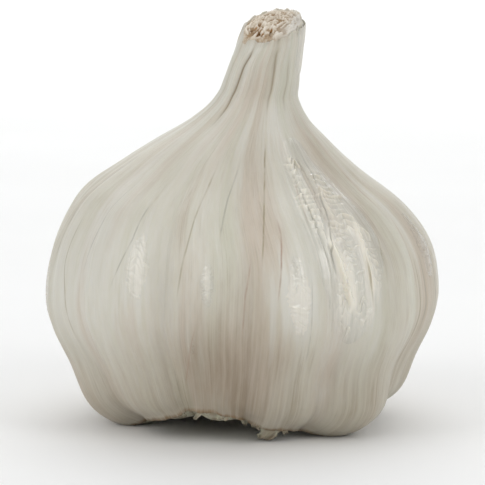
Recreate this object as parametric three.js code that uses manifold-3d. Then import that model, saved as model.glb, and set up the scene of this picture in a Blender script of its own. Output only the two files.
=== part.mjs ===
// A garlic bulb, whole and trimmed: the skinned bulb with its neck, the cut ends of the dry leaf
// sheaths that stand in the neck's mouth, and the root plate with its trimmed roots underneath.
// Millimetres, +Z up. The origin is on the ground under the middle of the bulb, -Y is the front.
// Angles are degrees round the bulb: 0 is the front and 90 is the right-hand side, +X.
import * as THREE from "three";
import { mergeVertices } from "three/addons/utils/BufferGeometryUtils.js";
import Module from "manifold-3d";

// Driving dimensions of the bulb
const BULB_RADIUS = 31.9; // mean radius where the bulb is widest
const WIDEST_HEIGHT = 21.8; // height of that widest ring above the ground
const SHOULDER_HEIGHT = 45.9; // where the shoulder turns up into the neck
const NECK_RADIUS = 4.9; // the neck at its cut
const NECK_HEIGHT = 64.6; // mean height of the cut
const AXIS_SHIFT = { x: -0.25, y: -0.3 }; // puts the origin under the middle of the whole bulb

// The bulb leans by its neck only, to the right and to the front
const NECK_LEAN = { from: 43.3, to: 55.3, right: 2.8, front: 1.6 };
const NECK_SLOPE = { from: 53.3, right: 0.21, front: 0.1 }; // mm per mm of height above the lean

// The cloves under the skin: middle angle, half width, height of the foot above the ground, and
// the extra fullness just above the foot. A foot below the ground is pressed flat on it.
const CLOVES = [
  { middle: -71.5, half: 16.5, foot: -0.4, belly: 0.2 },
  { middle: -38.25, half: 16.75, foot: 2.2, belly: 0 },
  { middle: -10, half: 11.5, foot: 2.7, belly: 0 },
  { middle: 14.25, half: 12.75, foot: 1.5, belly: 0.2 },
  { middle: 47, half: 20, foot: -0.3, belly: 2.5 },
  { middle: 83.5, half: 16.5, foot: 1.8, belly: 0.6 },
  { middle: 114.5, half: 14.5, foot: 2.2, belly: 0.3 },
  { middle: 146.5, half: 17.5, foot: -0.4, belly: 0.8 },
  { middle: 183, half: 19, foot: 1.6, belly: 0.5 },
  { middle: 219, half: 17, foot: -0.4, belly: 0.7 },
  { middle: 254, half: 18, foot: 1.8, belly: 0.3 },
];
const LOBE_DEPTH = 1.35; // from a full-width clove's crest to the valley beside it
const LOBE_DEPTH_LOW = 0.7; // added to that depth near the feet
const FULL_HALF_WIDTH = 17; // half width, in degrees, of a clove with the full depth
const VALLEY_SOFTNESS = 0.4; // how far the skin bridges a valley between two cloves
const VALLEY_RISE = 0.8; // how much higher the skin is between two feet
const LOBE_TOP = { none: 47.5, full: 32.5 }; // heights between which the cloves come in
const FOOT_RING = { inner: 9.4, outer: 14.5 }; // radii between which the feet come in
const BELLY = { height: 3.5, spread: 6 };
const SHOULDER_BULGE = { height: 39.8, spread: 4, depth: 1.2 }; // fuller shoulder on the left
const SHOULDER_LEAN = { height: 37.3, spread: 6, left: 0.7 }; // the whole shoulder sits leftwards
const LOW_LOBES = { none: 20, full: 5 }; // heights between which LOBE_DEPTH_LOW comes in
const FOOT_FADE = 1.5; // how quickly the feet's own heights fade out upwards

// The veins of the skin: raised ribs from the root plate to the neck
const RIBS = 54;
const RIB_SEED = 4277;
const RIB_JITTER = 0.3; // share of the even spacing
const RIB_HEIGHT = 0.45; // at the widest ring
const PLEATS = 13; // folds of the neck
const PLEAT_DEPTH = 0.42;
const PLEAT_DRIFT = 1.3; // radians by which the folds' spacing drifts, twice round
const PLEAT_ROUNDNESS = 0.7; // 1 is a plain wave and less is flatter on the folds
const PLEAT_FROM = { none: 46.3, full: 56.3 };

// The cut across the neck: higher at the back right, with a ragged edge
const CUT_RISE = 2.4;
const CUT_HIGH_ANGLE = 158;
const CUT_RAG = 0.35;
const CUT_BLEND = 7; // length of neck over which the slant of the cut comes in
const MOUTH_RADIUS = 4.1;
const MOUTH_FLOOR = 60;
const MOUTH_RIM = { width: 0.35, rise: 0.35, drop: 0.3 }; // the rim's top and its inner edge
const MOUTH_TAPER = 0.1; // how much narrower the mouth is at its floor

// The outline of the bulb from the middle of its base to the middle of the neck's mouth, as
// radius and height. The cloves, ribs and pleats stand out of it.
const PLATE_SEAT = { radius: 8.6, height: 4.2 };
const OUTLINE = [
  [PLATE_SEAT.radius, PLATE_SEAT.height],
  [9.5, 2.5],
  [12.8, 0.6],
  [17.4, 0],
  [21.6, 1.6],
  [24.9, 4.7],
  [27.8, 10.6],
  [30.9, 16.5],
  [BULB_RADIUS, WIDEST_HEIGHT],
  [30.5, 29.3],
  [26.5, 35.6],
  [19.9, 41.1],
  [14.1, SHOULDER_HEIGHT],
  [9.7, 49.4],
  [6.8, 52.9],
  [6, 56.3],
  [5.5, 60.3],
  [5.3, 62.9],
  [NECK_RADIUS, NECK_HEIGHT],
];
const OUTLINE_STEPS = 40;

// Small parts
const GAP = 0.3; // between a piece and the one that it sits in
const SHEATH_WALL = 0.7;
const SHEATH_RINGS = [
  { radius: 3.55, arcs: 3, rise: 5.4 },
  { radius: 2.35, arcs: 2, rise: 5.9 },
  { radius: 1.15, arcs: 2, rise: 6.2 },
];
const SHEATH_SEED = 31;
const SHEATH_BREAK = 49; // mm by degrees: the gap between two arcs, wider in degrees further in
const SHEATH_STEP = 22; // degrees between an arc's sections
const SHEATH_RIPPLE = { depth: 0.16, waves: 5, shift: 9 };
const SHEATH_TOP = { lowest: 0.88, spread: 0.2, slant: 0.8, rag: 0.9, end: 1.1 };
const SHEATH_LEAN = { middle: 0.08, top: 0.22, inner: 0.12 }; // inwards, and higher on the inside
const STUB = { sides: 24, rim: 0.9, middle: 1.1 }; // the common stub's heights above the gap
const PLATE = { rim: 8.2, foot: 6.6, thickness: 1.8, sides: 40 };
const PLATE_SEAM = { inset: 0.2, waist: 0.35, share: 0.55 }; // the rim's upper edge and its waist
const PLATE_DOME = { ring: 0.15, middle: 0.25 }; // how far the foot bulges downwards
const PLATE_WAVES = { count: 7, foot: 0.15, waist: 0.12 };
const ROOTS = 44;
const ROOT_SEED = 90;
const ROOT = { radius: 0.55, longest: 2.4, shortest: 1.3, sides: 6, splay: 0.4 };
const ROOT_TIP = { lowest: 0.5, size: 0.75 }; // never nearer the ground, and how far it tapers
const ROOT_SCATTER = { turn: 14, splay: 0.3, inset: 0.5, depth: 0.6 };
const GOLDEN_ANGLE = 137.508;
const TATTERS = [
  { angle: -24, radius: 14.6, width: 2.6, tip: 1.9 },
  { angle: 11, radius: 15.4, width: 4.2, tip: 0.45 },
  { angle: -2, radius: 13.2, width: 2, tip: 1.4 },
  { angle: 97, radius: 13.6, width: 2.8, tip: 0.9 },
  { angle: 183, radius: 12.8, width: 3.2, tip: 0.6 },
  { angle: 251, radius: 13.4, width: 2.4, tip: 0.8 },
];
const TATTER = { thickness: 0.65, root: 5.2, back: 1.4, curl: 0.35, crease: 0.1 };
const TATTER_ROWS = [
  { down: 0, size: 1, turn: 0 },
  { down: 0.45, size: 1, turn: 2 },
  { down: 0.8, size: 0.8, turn: 4 },
  { down: 1, size: 0.42, turn: 9 },
];

const DEGREE = Math.PI / 180;
const manifold = await Module();
manifold.setup();

// A small seeded generator, so that the bulb is the same each time.
function randomFrom(seed) {
  let state = seed >>> 0;
  return () => {
    state = (state + 0x6d2b79f5) >>> 0;
    let t = state;
    t = Math.imul(t ^ (t >>> 15), t | 1);
    t ^= t + Math.imul(t ^ (t >>> 7), t | 61);
    return ((t ^ (t >>> 14)) >>> 0) / 4294967296;
  };
}

// 0 below `from`, 1 past `to`, smooth between, also where `from` is the greater.
function ease(from, to, value) {
  const t = Math.min(1, Math.max(0, (value - from) / (to - from)));
  return t * t * (3 - 2 * t);
}

function bell(middle, spread, value) {
  return Math.exp(-(((value - middle) / spread) ** 2));
}

// The clove at an angle: the clove, and how full the skin is there, 1 on its crest and 0 in a
// valley.
function cloveAt(angle) {
  const first = CLOVES[0].middle - CLOVES[0].half;
  const turned = first + ((((angle - first) % 360) + 360) % 360);
  const found = CLOVES.find((c) => turned <= c.middle + c.half);
  const clove = found ?? CLOVES[CLOVES.length - 1];
  const index = CLOVES.indexOf(clove);
  const across = Math.min(1, Math.abs(turned - clove.middle) / clove.half);
  const arch = Math.cos((across * Math.PI) / 2);
  const soft = VALLEY_SOFTNESS;
  const fullness =
    (Math.hypot(arch, soft) - soft) / (Math.hypot(1, soft) - soft);
  const step = turned < clove.middle ? -1 : 1;
  const next = CLOVES[(index + step + CLOVES.length) % CLOVES.length];
  return { clove, next, fullness };
}

// The mean height of two neighbours' feet is reached in the valley between them.
function blended(key, { clove, next, fullness }) {
  const between = (clove[key] + next[key]) / 2;
  return clove[key] * fullness + between * (1 - fullness);
}

function pleatAt(angle) {
  const drift = PLEAT_DRIFT * Math.sin(2 * angle * DEGREE);
  const wave = Math.cos(PLEATS * angle * DEGREE + drift);
  return Math.abs(wave) ** PLEAT_ROUNDNESS * Math.sign(wave);
}

// A point of the bulb's skin: `rib` is 1 on a rib's crest and -1 between two ribs.
function skinPoint(angle, radius, height, rib) {
  const here = cloveAt(angle);
  const top = ease(LOBE_TOP.none, LOBE_TOP.full, height);
  const ring = ease(FOOT_RING.inner, FOOT_RING.outer, radius);
  const size = here.clove.half / FULL_HALF_WIDTH;
  const deeper = LOBE_DEPTH_LOW * ease(LOW_LOBES.none, LOW_LOBES.full, height);
  const depth = (LOBE_DEPTH + deeper) * size;
  const lobe = depth * (here.fullness - 0.5) * top * ring;
  const belly = blended("belly", here) * bell(BELLY.height, BELLY.spread, height) * ring;
  const leftward = Math.max(0, -Math.sin(angle * DEGREE)) ** 2;
  const shoulder = SHOULDER_BULGE.depth * leftward *
    bell(SHOULDER_BULGE.height, SHOULDER_BULGE.spread, height);
  const pleat = PLEAT_DEPTH * pleatAt(angle) * ease(PLEAT_FROM.none, PLEAT_FROM.full, height);
  const ribs = (rib * RIB_HEIGHT * radius * ring) / BULB_RADIUS / 2;
  const r = radius + lobe + belly + shoulder + pleat + ribs;

  const foot = blended("foot", here) + VALLEY_RISE * (1 - here.fullness);
  const low = Math.max(0, 1 - height / WIDEST_HEIGHT) ** FOOT_FADE;
  const z = Math.max(0, height + foot * low * ring);
  return onAxis(angle, r, z);
}

// Where a radius and height stand on the leaning neck or the upright bulb.
function onAxis(angle, radius, height) {
  const lean = ease(NECK_LEAN.from, NECK_LEAN.to, height);
  const above = Math.max(0, height - NECK_SLOPE.from);
  const x = NECK_LEAN.right * lean + NECK_SLOPE.right * above + AXIS_SHIFT.x -
    SHOULDER_LEAN.left * bell(SHOULDER_LEAN.height, SHOULDER_LEAN.spread, height);
  const y = NECK_LEAN.front * lean + NECK_SLOPE.front * above - AXIS_SHIFT.y;
  return new THREE.Vector3(
    x + radius * Math.sin(angle * DEGREE),
    -y - radius * Math.cos(angle * DEGREE),
    height,
  );
}

// How much higher the cut stands at an angle than its mean.
function cutRise(angle, rag) {
  return CUT_RISE * Math.cos((angle - CUT_HIGH_ANGLE) * DEGREE) + rag;
}

// The columns of the skin's mesh, a rib's crest and the hollow beside it in turn.
function ribColumns() {
  const random = randomFrom(RIB_SEED);
  const spacing = 360 / RIBS;
  const crests = Array.from(
    { length: RIBS },
    (_, i) => (i + (random() - 0.5) * 2 * RIB_JITTER) * spacing,
  );
  return crests.flatMap((crest, i) => {
    const after = i + 1 < RIBS ? crests[i + 1] : crests[0] + 360;
    return [
      { angle: crest, rib: 1, rag: random() - 0.5 },
      { angle: (crest + after) / 2, rib: -1, rag: random() - 0.5 },
    ];
  });
}

function middleOf(ring) {
  return ring.reduce((sum, p) => sum.add(p), new THREE.Vector3()).divideScalar(ring.length);
}

// A closed mesh from rings of points, with a fan at each end.
function closedFromRings(rings, first, last) {
  const points = [first, ...rings.flat(), last];
  const n = rings[0].length;
  const at = (ring, i) => 1 + ring * n + (i % n);
  const index = [];
  for (let i = 0; i < n; i++) {
    index.push(0, at(0, i + 1), at(0, i));
    for (let ring = 0; ring + 1 < rings.length; ring++) {
      index.push(at(ring, i), at(ring, i + 1), at(ring + 1, i + 1));
      index.push(at(ring, i), at(ring + 1, i + 1), at(ring + 1, i));
    }
    index.push(at(rings.length - 1, i), at(rings.length - 1, i + 1), points.length - 1);
  }
  const geometry = new THREE.BufferGeometry().setFromPoints(points);
  geometry.setIndex(index);
  return geometry;
}

function solidOf(geometry) {
  const bare = new THREE.BufferGeometry();
  bare.setAttribute("position", geometry.getAttribute("position"));
  bare.setIndex(geometry.getIndex());
  const merged = mergeVertices(bare, 1e-4);
  return new manifold.Manifold(
    new manifold.Mesh({
      numProp: 3,
      vertProperties: merged.attributes.position.array,
      triVerts: new Uint32Array(merged.index.array),
    }),
  );
}

function geometryOf(solid) {
  const mesh = solid.getMesh();
  const geometry = new THREE.BufferGeometry();
  geometry.setAttribute("position", new THREE.BufferAttribute(mesh.vertProperties, 3));
  geometry.setIndex(new THREE.BufferAttribute(mesh.triVerts, 1));
  geometry.computeVertexNormals();
  return geometry;
}

function joined(geometries) {
  const solids = geometries.map(solidOf);
  return geometryOf(solids.slice(1).reduce((all, s) => all.add(s), solids[0]));
}

// The skinned bulb without its tatters: base, body, neck and the mouth's rim and floor.
function bulbBody() {
  const outline = new THREE.SplineCurve(OUTLINE.map(([r, z]) => new THREE.Vector2(r, z)));
  const steps = outline.getPoints(OUTLINE_STEPS);
  const columns = ribColumns();
  const rings = steps.map((p) =>
    columns.map(({ angle, rib, rag }) => {
      const cut = ease(NECK_HEIGHT - CUT_BLEND, NECK_HEIGHT, p.y);
      const point = skinPoint(angle, p.x, p.y, rib);
      point.z += cut * cutRise(angle, rag * CUT_RAG * 2);
      return point;
    }),
  );
  const mouth = [
    { radius: NECK_RADIUS - MOUTH_RIM.width, height: NECK_HEIGHT + MOUTH_RIM.rise, rise: 1 },
    { radius: MOUTH_RADIUS, height: NECK_HEIGHT - MOUTH_RIM.drop, rise: 1 },
    { radius: MOUTH_RADIUS - MOUTH_TAPER, height: MOUTH_FLOOR, rise: 0 },
  ];
  for (const { radius, height, rise } of mouth) {
    rings.push(
      columns.map(({ angle, rag }) => {
        const point = onAxis(angle, radius, height);
        point.z += rise * cutRise(angle, rag * CUT_RAG * 2);
        return point;
      }),
    );
  }
  const seat = onAxis(0, 0, PLATE_SEAT.height);
  return closedFromRings(rings, seat, onAxis(0, 0, MOUTH_FLOOR));
}

// A torn tatter of skin that hangs from the underside, between the cloves' feet.
function tatter({ angle, radius, width, tip }) {
  const rings = TATTER_ROWS.map(({ down, size, turn }) => {
    const outer = radius - TATTER.back * (1 - down) ** 1.5;
    const inner = outer - TATTER.thickness;
    const height = THREE.MathUtils.lerp(TATTER.root, tip, down);
    const half = (width / 2) * size;
    const middle = angle + turn;
    const wide = (half / outer) / DEGREE;
    const crease = middle + wide * TATTER.crease;
    return [
      onAxis(middle - wide, outer, height),
      onAxis(middle - wide, inner, height),
      onAxis(crease, inner + TATTER.curl, height),
      onAxis(middle + wide, inner, height),
      onAxis(middle + wide, outer, height),
      onAxis(crease, outer + TATTER.curl, height),
    ];
  });
  return closedFromRings(rings, middleOf(rings[0]), middleOf(rings[rings.length - 1]));
}

// One torn length of a leaf sheath, curved round the neck's axis, with a ragged top.
function sheathArc(random, { radius, rise }, start, sweep) {
  const steps = Math.max(5, Math.round(sweep / SHEATH_STEP));
  const floor = MOUTH_FLOOR + 2 * GAP;
  const top = MOUTH_FLOOR + rise * (SHEATH_TOP.lowest + SHEATH_TOP.spread * random());
  const inner = [];
  const outer = [];
  for (let i = 0; i <= steps; i++) {
    const angle = start + (sweep * i) / steps;
    const wave = SHEATH_RIPPLE.waves * angle * DEGREE + radius * SHEATH_RIPPLE.shift;
    const middle = radius + SHEATH_RIPPLE.depth * Math.sin(wave);
    const ends = Math.min(1, Math.min(i, steps - i) / 1.5);
    const torn = (1 - ends) * SHEATH_TOP.end - (random() - 0.5) * SHEATH_TOP.rag;
    const high = top + cutRise(angle, 0) * SHEATH_TOP.slant - torn;
    outer.push([angle, middle, floor, high]);
    inner.push([angle, middle - SHEATH_WALL, floor, high + SHEATH_LEAN.inner]);
  }
  const section = ([angle, r, low, high]) => [
    onAxis(angle, r, low),
    onAxis(angle, r - SHEATH_LEAN.middle, (low + high) / 2),
    onAxis(angle, r - SHEATH_LEAN.top, high),
  ];
  const rings = outer.map((o, i) => {
    const a = section(o);
    const b = section(inner[i]);
    return [b[0], b[1], b[2], a[2], a[1], a[0]];
  });
  return closedFromRings(rings, middleOf(rings[0]), middleOf(rings[rings.length - 1]));
}

// The cut ends of the inner leaf sheaths, in rings on a common stub in the neck's mouth.
function sheathEnds() {
  const random = randomFrom(SHEATH_SEED);
  const ring = (radius, height) =>
    Array.from({ length: STUB.sides }, (_, i) =>
      onAxis((i * 360) / STUB.sides, radius, height),
    );
  const low = MOUTH_FLOOR + GAP;
  const radius = MOUTH_RADIUS - MOUTH_TAPER - GAP;
  const stubRings = [ring(radius, low), ring(radius, low + STUB.rim)];
  const stub = closedFromRings(stubRings, onAxis(0, 0, low), onAxis(0, 0, low + STUB.middle));
  const arcs = SHEATH_RINGS.flatMap((sheath) => {
    const turn = random() * 360;
    const share = 360 / sheath.arcs;
    const sweep = share - SHEATH_BREAK / sheath.radius;
    return Array.from({ length: sheath.arcs }, (_, i) =>
      sheathArc(random, sheath, turn + i * share, sweep),
    );
  });
  return joined([stub, ...arcs]);
}

// The hard plate that the cloves and roots grow from, a low cone under the bulb.
function plateDisc() {
  const top = PLATE_SEAT.height - GAP;
  const ring = (radius, height, wave) =>
    Array.from({ length: PLATE.sides }, (_, i) => {
      const angle = (i * 360) / PLATE.sides;
      const ripple = wave * Math.sin(PLATE_WAVES.count * angle * DEGREE);
      return onAxis(angle, radius + ripple, height);
    });
  const low = top - PLATE.thickness;
  const waist = top - PLATE.thickness * PLATE_SEAM.share;
  const rings = [
    ring(PLATE.foot / 2, low - PLATE_DOME.ring, 0),
    ring(PLATE.foot, low, PLATE_WAVES.foot),
    ring(PLATE.rim - PLATE_SEAM.waist, waist, PLATE_WAVES.waist),
    ring(PLATE.rim - PLATE_SEAM.inset, top, 0),
  ];
  const foot = onAxis(0, 0, low - PLATE_DOME.middle);
  return closedFromRings(rings, foot, onAxis(0, 0, top));
}

// A trimmed root: a tapered stub from inside the plate, splayed outwards, cut off square.
function rootStub(random, index) {
  const share = Math.sqrt((index + 0.5) / ROOTS);
  const angle = index * GOLDEN_ANGLE + (random() - 0.5) * ROOT_SCATTER.turn;
  const radius = share * (PLATE.foot - ROOT_SCATTER.inset);
  const seat = PLATE_SEAT.height - GAP;
  const top = seat - PLATE.thickness * ROOT_SCATTER.depth;
  const length = THREE.MathUtils.lerp(ROOT.shortest, ROOT.longest, random());
  const foot = Math.max(ROOT_TIP.lowest, seat - PLATE.thickness - length);
  const splay = ROOT.splay * share * (top - foot) + (random() - 0.5) * ROOT_SCATTER.splay;
  const ring = (out, height, size) => {
    const centre = onAxis(angle, radius + out, height);
    return Array.from({ length: ROOT.sides }, (_, i) => {
      const turn = (i / ROOT.sides) * 2 * Math.PI + index;
      return new THREE.Vector3(
        centre.x + size * Math.cos(turn),
        centre.y + size * Math.sin(turn),
        height,
      );
    });
  };
  const rings = [ring(splay, foot, ROOT.radius * ROOT_TIP.size), ring(0, top, ROOT.radius)];
  const end = onAxis(angle, radius + splay, foot);
  return closedFromRings(rings, end, onAxis(angle, radius, top));
}

function rootPlate() {
  const random = randomFrom(ROOT_SEED);
  const roots = Array.from({ length: ROOTS }, (_, i) => rootStub(random, i));
  return joined([plateDisc(), ...roots]);
}

function piece(name, geometry, material) {
  const mesh = new THREE.Mesh(geometry, new THREE.MeshStandardMaterial(material));
  mesh.name = name;
  return mesh;
}

const garlic = new THREE.Group();
garlic.add(
  piece("bulb", joined([bulbBody(), ...TATTERS.map(tatter)]), {
    color: 0xd8d5c8,
    roughness: 0.5,
    metalness: 0,
  }),
  piece("neck_sheath_ends", sheathEnds(), {
    color: 0xcdbda2,
    roughness: 0.85,
    metalness: 0,
  }),
  piece("root_plate", rootPlate(), {
    color: 0x9c8d6e,
    roughness: 0.9,
    metalness: 0,
  }),
);

export default garlic;
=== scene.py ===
"""A whole garlic bulb, trimmed: papery skin over lobed cloves, a cut neck and a rooted base.

Sizes are in millimetres until a mesh is made, and angles are degrees round the bulb: 0 is the
front and 90 is the right-hand side. A place on the skin is its angle and its arc: the length of
outline from the root plate's seat, underneath and up the side to the cut across the neck.
"""

import logging
import math
from dataclasses import dataclass, field
from enum import Enum

import bpy
import numpy as np
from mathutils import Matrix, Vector


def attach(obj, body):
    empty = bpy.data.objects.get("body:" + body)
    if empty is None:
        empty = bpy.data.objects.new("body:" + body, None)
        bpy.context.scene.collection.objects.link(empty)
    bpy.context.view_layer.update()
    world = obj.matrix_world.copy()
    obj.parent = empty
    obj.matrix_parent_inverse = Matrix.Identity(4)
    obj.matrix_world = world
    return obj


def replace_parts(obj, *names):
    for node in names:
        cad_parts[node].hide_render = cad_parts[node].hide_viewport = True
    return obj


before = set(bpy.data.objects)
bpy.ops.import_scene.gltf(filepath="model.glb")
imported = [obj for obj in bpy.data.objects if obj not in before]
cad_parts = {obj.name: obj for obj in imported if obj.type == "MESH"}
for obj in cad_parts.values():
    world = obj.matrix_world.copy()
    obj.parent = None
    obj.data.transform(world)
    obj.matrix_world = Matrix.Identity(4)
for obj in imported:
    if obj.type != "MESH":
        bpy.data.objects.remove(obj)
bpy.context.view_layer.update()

LOG = logging.getLogger("garlic_bulb")
MM = 0.001
DEGREE = math.pi / 180
FULL_TURN = 6.28  # radians
GOLDEN_ANGLE = 137.508
BODY = "root"
UNDER_ZONE = -1.0  # zone of the under-skin, below the torn edge
PLAIN_ZONE = 9.0  # zone of skin that is far above the torn edge
BUMP_REACH = 0.0001
FLOAT, WHOLE = "NodeSocketFloat", "NodeSocketInt"
VECTOR, GEOMETRY = "NodeSocketVector", "NodeSocketGeometry"

Array = np.ndarray
Triple = tuple[float, float, float]
Colour = Triple
Layers = dict[str, Array]
Path = tuple[tuple[float, float], ...]
Row = tuple[Array, Layers]
Sheet = tuple[Array, Array, Array]
Object = bpy.types.Object
Material = bpy.types.Material
NodeTree = bpy.types.NodeTree
Node = bpy.types.Node
Socket = bpy.types.NodeSocket


def paint(red: int, green: int, blue: int) -> Colour:
    """Turn a paint-chart colour, 0 to 255 a channel, into the linear values that shaders use.

    Args:
        red: red, 0 to 255.
        green: green, 0 to 255.
        blue: blue, 0 to 255.

    Returns:
        The linear colour.
    """
    def channel(byte: int) -> float:
        value = byte / 255
        return value / 12.92 if value <= 0.04045 else ((value + 0.055) / 1.055) ** 2.4

    return channel(red), channel(green), channel(blue)


def smooth(t: Array) -> Array:
    """Bend a straight rise from 0 to 1 so that it starts and ends level."""
    return t * t * (3 - 2 * t)


def ease(start: float, end: float, value: Array | float) -> Array:
    """Rise smoothly from 0 at start to 1 at end, also where start is the greater."""
    return smooth(np.clip((np.asarray(value, float) - start) / (end - start), 0, 1))


def bell(middle: Array | float, spread: float, value: Array | float) -> Array:
    """Give a bell curve of height 1."""
    return np.exp(-(((np.asarray(value, float) - middle) / spread) ** 2))


def turned(angle: Array | float, middle: Array | float) -> Array:
    """Give how far an angle is from a middle one, between -180 and 180."""
    return (np.asarray(angle, float) - middle + 180) % 360 - 180


class SeededDraw:
    """The small generator that places the bulb's ribs."""

    def __init__(self, seed: int) -> None:
        """Start the sequence at a seed."""
        self.state = seed

    def next(self) -> float:
        """Draw the next number between 0 and 1.

        Returns:
            The number.
        """
        whole = 0xFFFFFFFF
        self.state = (self.state + 0x6D2B79F5) & whole
        t = self.state
        t = ((t ^ (t >> 15)) * (t | 1)) & whole
        t ^= (t + (((t ^ (t >> 7)) * (t | 61)) & whole)) & whole
        return ((t ^ (t >> 14)) & whole) / (whole + 1)


class RoundNoise:
    """Smooth noise from -1 to 1 that closes on itself round the bulb."""

    last_place = 0.9999  # inside the last cell

    def __init__(self, seed: int, around: int, along: int) -> None:
        """Draw a lattice.

        Args:
            seed: seed of the draw.
            around: lattice cells in one turn.
            along: lattice cells from one end to the other.
        """
        self.around = around
        self.along = along
        self.values = np.random.default_rng(seed).uniform(-1, 1, (around, along + 1))

    def at(self, angle: Array, share: Array | float) -> Array:
        """Read the noise.

        Args:
            angle: degrees round the bulb.
            share: place from 0 at one end to 1 at the other, or one place for all.

        Returns:
            The noise at each place.
        """
        u = (np.asarray(angle, float) / 360 % 1) * self.around
        v = np.clip(share, 0, self.last_place) * self.along
        column, row = np.floor(u).astype(int), np.floor(v).astype(int)
        fu, fv = smooth(u - column), smooth(v - row)
        left, right = column % self.around, (column + 1) % self.around
        low = self.values[left, row] * (1 - fu) + self.values[right, row] * fu
        high = self.values[left, row + 1] * (1 - fu) + self.values[right, row + 1] * fu
        return low * (1 - fv) + high * fv


@dataclass(frozen=True)
class Clove:
    """A clove under the skin: where it stands, its foot's height and its fullness above that."""

    middle: float
    half: float
    foot: float
    belly: float


@dataclass
class BulbForm:
    """The form of the skinned bulb: the lobed, ribbed and pleated surface that all pieces share."""

    widest_radius: float = 31.9
    widest_height: float = 21.8
    shoulder_height: float = 45.9
    neck_radius: float = 4.9
    neck_height: float = 64.6
    axis_shift: tuple[float, float] = (-0.25, -0.3)
    cloves: tuple[Clove, ...] = tuple(Clove(*row) for row in (
        (-71.5, 16.5, -0.4, 0.2), (-38.25, 16.75, 2.2, 0), (-10, 11.5, 2.7, 0),
        (14.25, 12.75, 1.5, 0.2), (47, 20, -0.3, 2.5), (83.5, 16.5, 1.8, 0.6),
        (114.5, 14.5, 2.2, 0.3), (146.5, 17.5, -0.4, 0.8), (183, 19, 1.6, 0.5),
        (219, 17, -0.4, 0.7), (254, 18, 1.8, 0.3),
    ))
    lobe_depth: float = 1.35
    lobe_depth_low: float = 0.7
    lobe_low: tuple[float, float] = (20, 5)  # heights between which the lobes deepen
    lobe_top: tuple[float, float] = (47.5, 32.5)  # heights between which they rise out of the neck
    lobe_ring: tuple[float, float] = (9.4, 14.5)  # radii between which they rise under the bulb
    full_half_width: float = 17
    valley_softness: float = 0.4
    valley_rise: float = 0.8
    belly: tuple[float, float] = (3.5, 6)  # height and spread of the feet's bellies
    shoulder: Triple = (1.2, 39.8, 4)  # the left shoulder's fullness, height and spread
    lean_heights: tuple[float, float] = (43.3, 55.3)
    lean: tuple[float, float] = (2.8, 1.6)  # of the neck, to the right and back
    slope_height: float = 53.3
    slope: tuple[float, float] = (0.21, 0.1)  # to a mm of height above that
    sway: Triple = (0.7, 37.3, 6)  # the shoulders' shift to the left, its height and spread
    ribs: int = 54
    rib_seed: int = 4277
    rib_jitter: float = 0.3
    rib_height: float = 0.45
    rib_share: float = 0.35  # of the ribs' height, because the finer folds take the rest
    pleats: int = 13
    pleat_depth: float = 0.42
    pleat_share: float = 0.35
    pleat_heights: tuple[float, float] = (46.3, 56.3)
    cut_rise: float = 2.4
    cut_high_angle: float = 158
    cut_blend: float = 7  # length of neck over which the slant of the cut comes in
    mouth_radius: float = 4.1
    mouth_floor: float = 60
    outline_samples: int = 2400

    def __post_init__(self) -> None:
        """Work out the outline, its arc lengths and the ribs' crests."""
        self.outline = np.array([
            (8.6, 4.2), (9.5, 2.5), (12.8, 0.6), (17.4, 0), (21.6, 1.6), (24.9, 4.7), (27.8, 10.6),
            (30.9, 16.5), (self.widest_radius, self.widest_height), (30.5, 29.3), (26.5, 35.6),
            (19.9, 41.1), (14.1, self.shoulder_height), (9.7, 49.4), (6.8, 52.9), (6, 56.3),
            (5.5, 60.3), (5.3, 62.9), (self.neck_radius, self.neck_height),
        ])
        self._curve = self._smooth_outline()
        steps = np.hypot(*np.diff(self._curve, axis=0).T)
        self._arcs = np.concatenate([[0], np.cumsum(steps)])
        self.length = float(self._arcs[-1])
        self._crests = self._rib_crests()
        low = int(np.argmin(self._curve[:, 1]))
        self._flank_heights, self._flank_arcs = self._curve[low:, 1], self._arcs[low:]

    def _smooth_outline(self) -> Array:
        """Sample the smooth curve through the outline's points.

        Returns:
            Radius and height of each sample.
        """
        points = self.outline
        place = np.linspace(0, len(points) - 1, self.outline_samples)
        index = np.minimum(np.floor(place).astype(int), len(points) - 2)
        t = (place - index)[:, None]
        before = points[np.maximum(index - 1, 0)]
        start, end = points[index], points[index + 1]
        after = points[np.minimum(index + 2, len(points) - 1)]
        leave, arrive = (end - before) / 2, (after - start) / 2
        cubic = 2 * start - 2 * end + leave + arrive
        square = 3 * end - 3 * start - 2 * leave - arrive
        return cubic * t**3 + square * t**2 + leave * t + start

    def _rib_crests(self) -> Array:
        """Place the ribs' crests, in degrees.

        Returns:
            The crests' angles.
        """
        draw = SeededDraw(self.rib_seed)
        jitter = [(draw.next() - 0.5) * 2 * self.rib_jitter for _ in range(self.ribs)]
        return np.array([(i + j) * 360 / self.ribs for i, j in enumerate(jitter)])

    def radius_at(self, arc: Array) -> Array:
        """Give the outline's radius at an arc."""
        return np.interp(arc, self._arcs, self._curve[:, 0])

    def height_at(self, arc: Array) -> Array:
        """Give the outline's height at an arc."""
        return np.interp(arc, self._arcs, self._curve[:, 1])

    def arc_at(self, height: Array | float) -> Array:
        """Give the arc at which the outline's flank passes a height."""
        return np.interp(height, self._flank_heights, self._flank_arcs)

    def rib_at(self, angle: Array) -> Array:
        """Give 1 on a rib's crest, -1 between two ribs, smooth between.

        Args:
            angle: in degrees.

        Returns:
            The ribs' wave at each angle.
        """
        crests = np.concatenate([[self._crests[-1] - 360], self._crests, [self._crests[0] + 360]])
        place = (np.asarray(angle, float) - crests[0]) % 360 + crests[0]
        index = np.clip(np.searchsorted(crests, place, side="right") - 1, 0, len(crests) - 2)
        share = (place - crests[index]) / (crests[index + 1] - crests[index])
        return np.cos(2 * np.pi * share)

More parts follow.
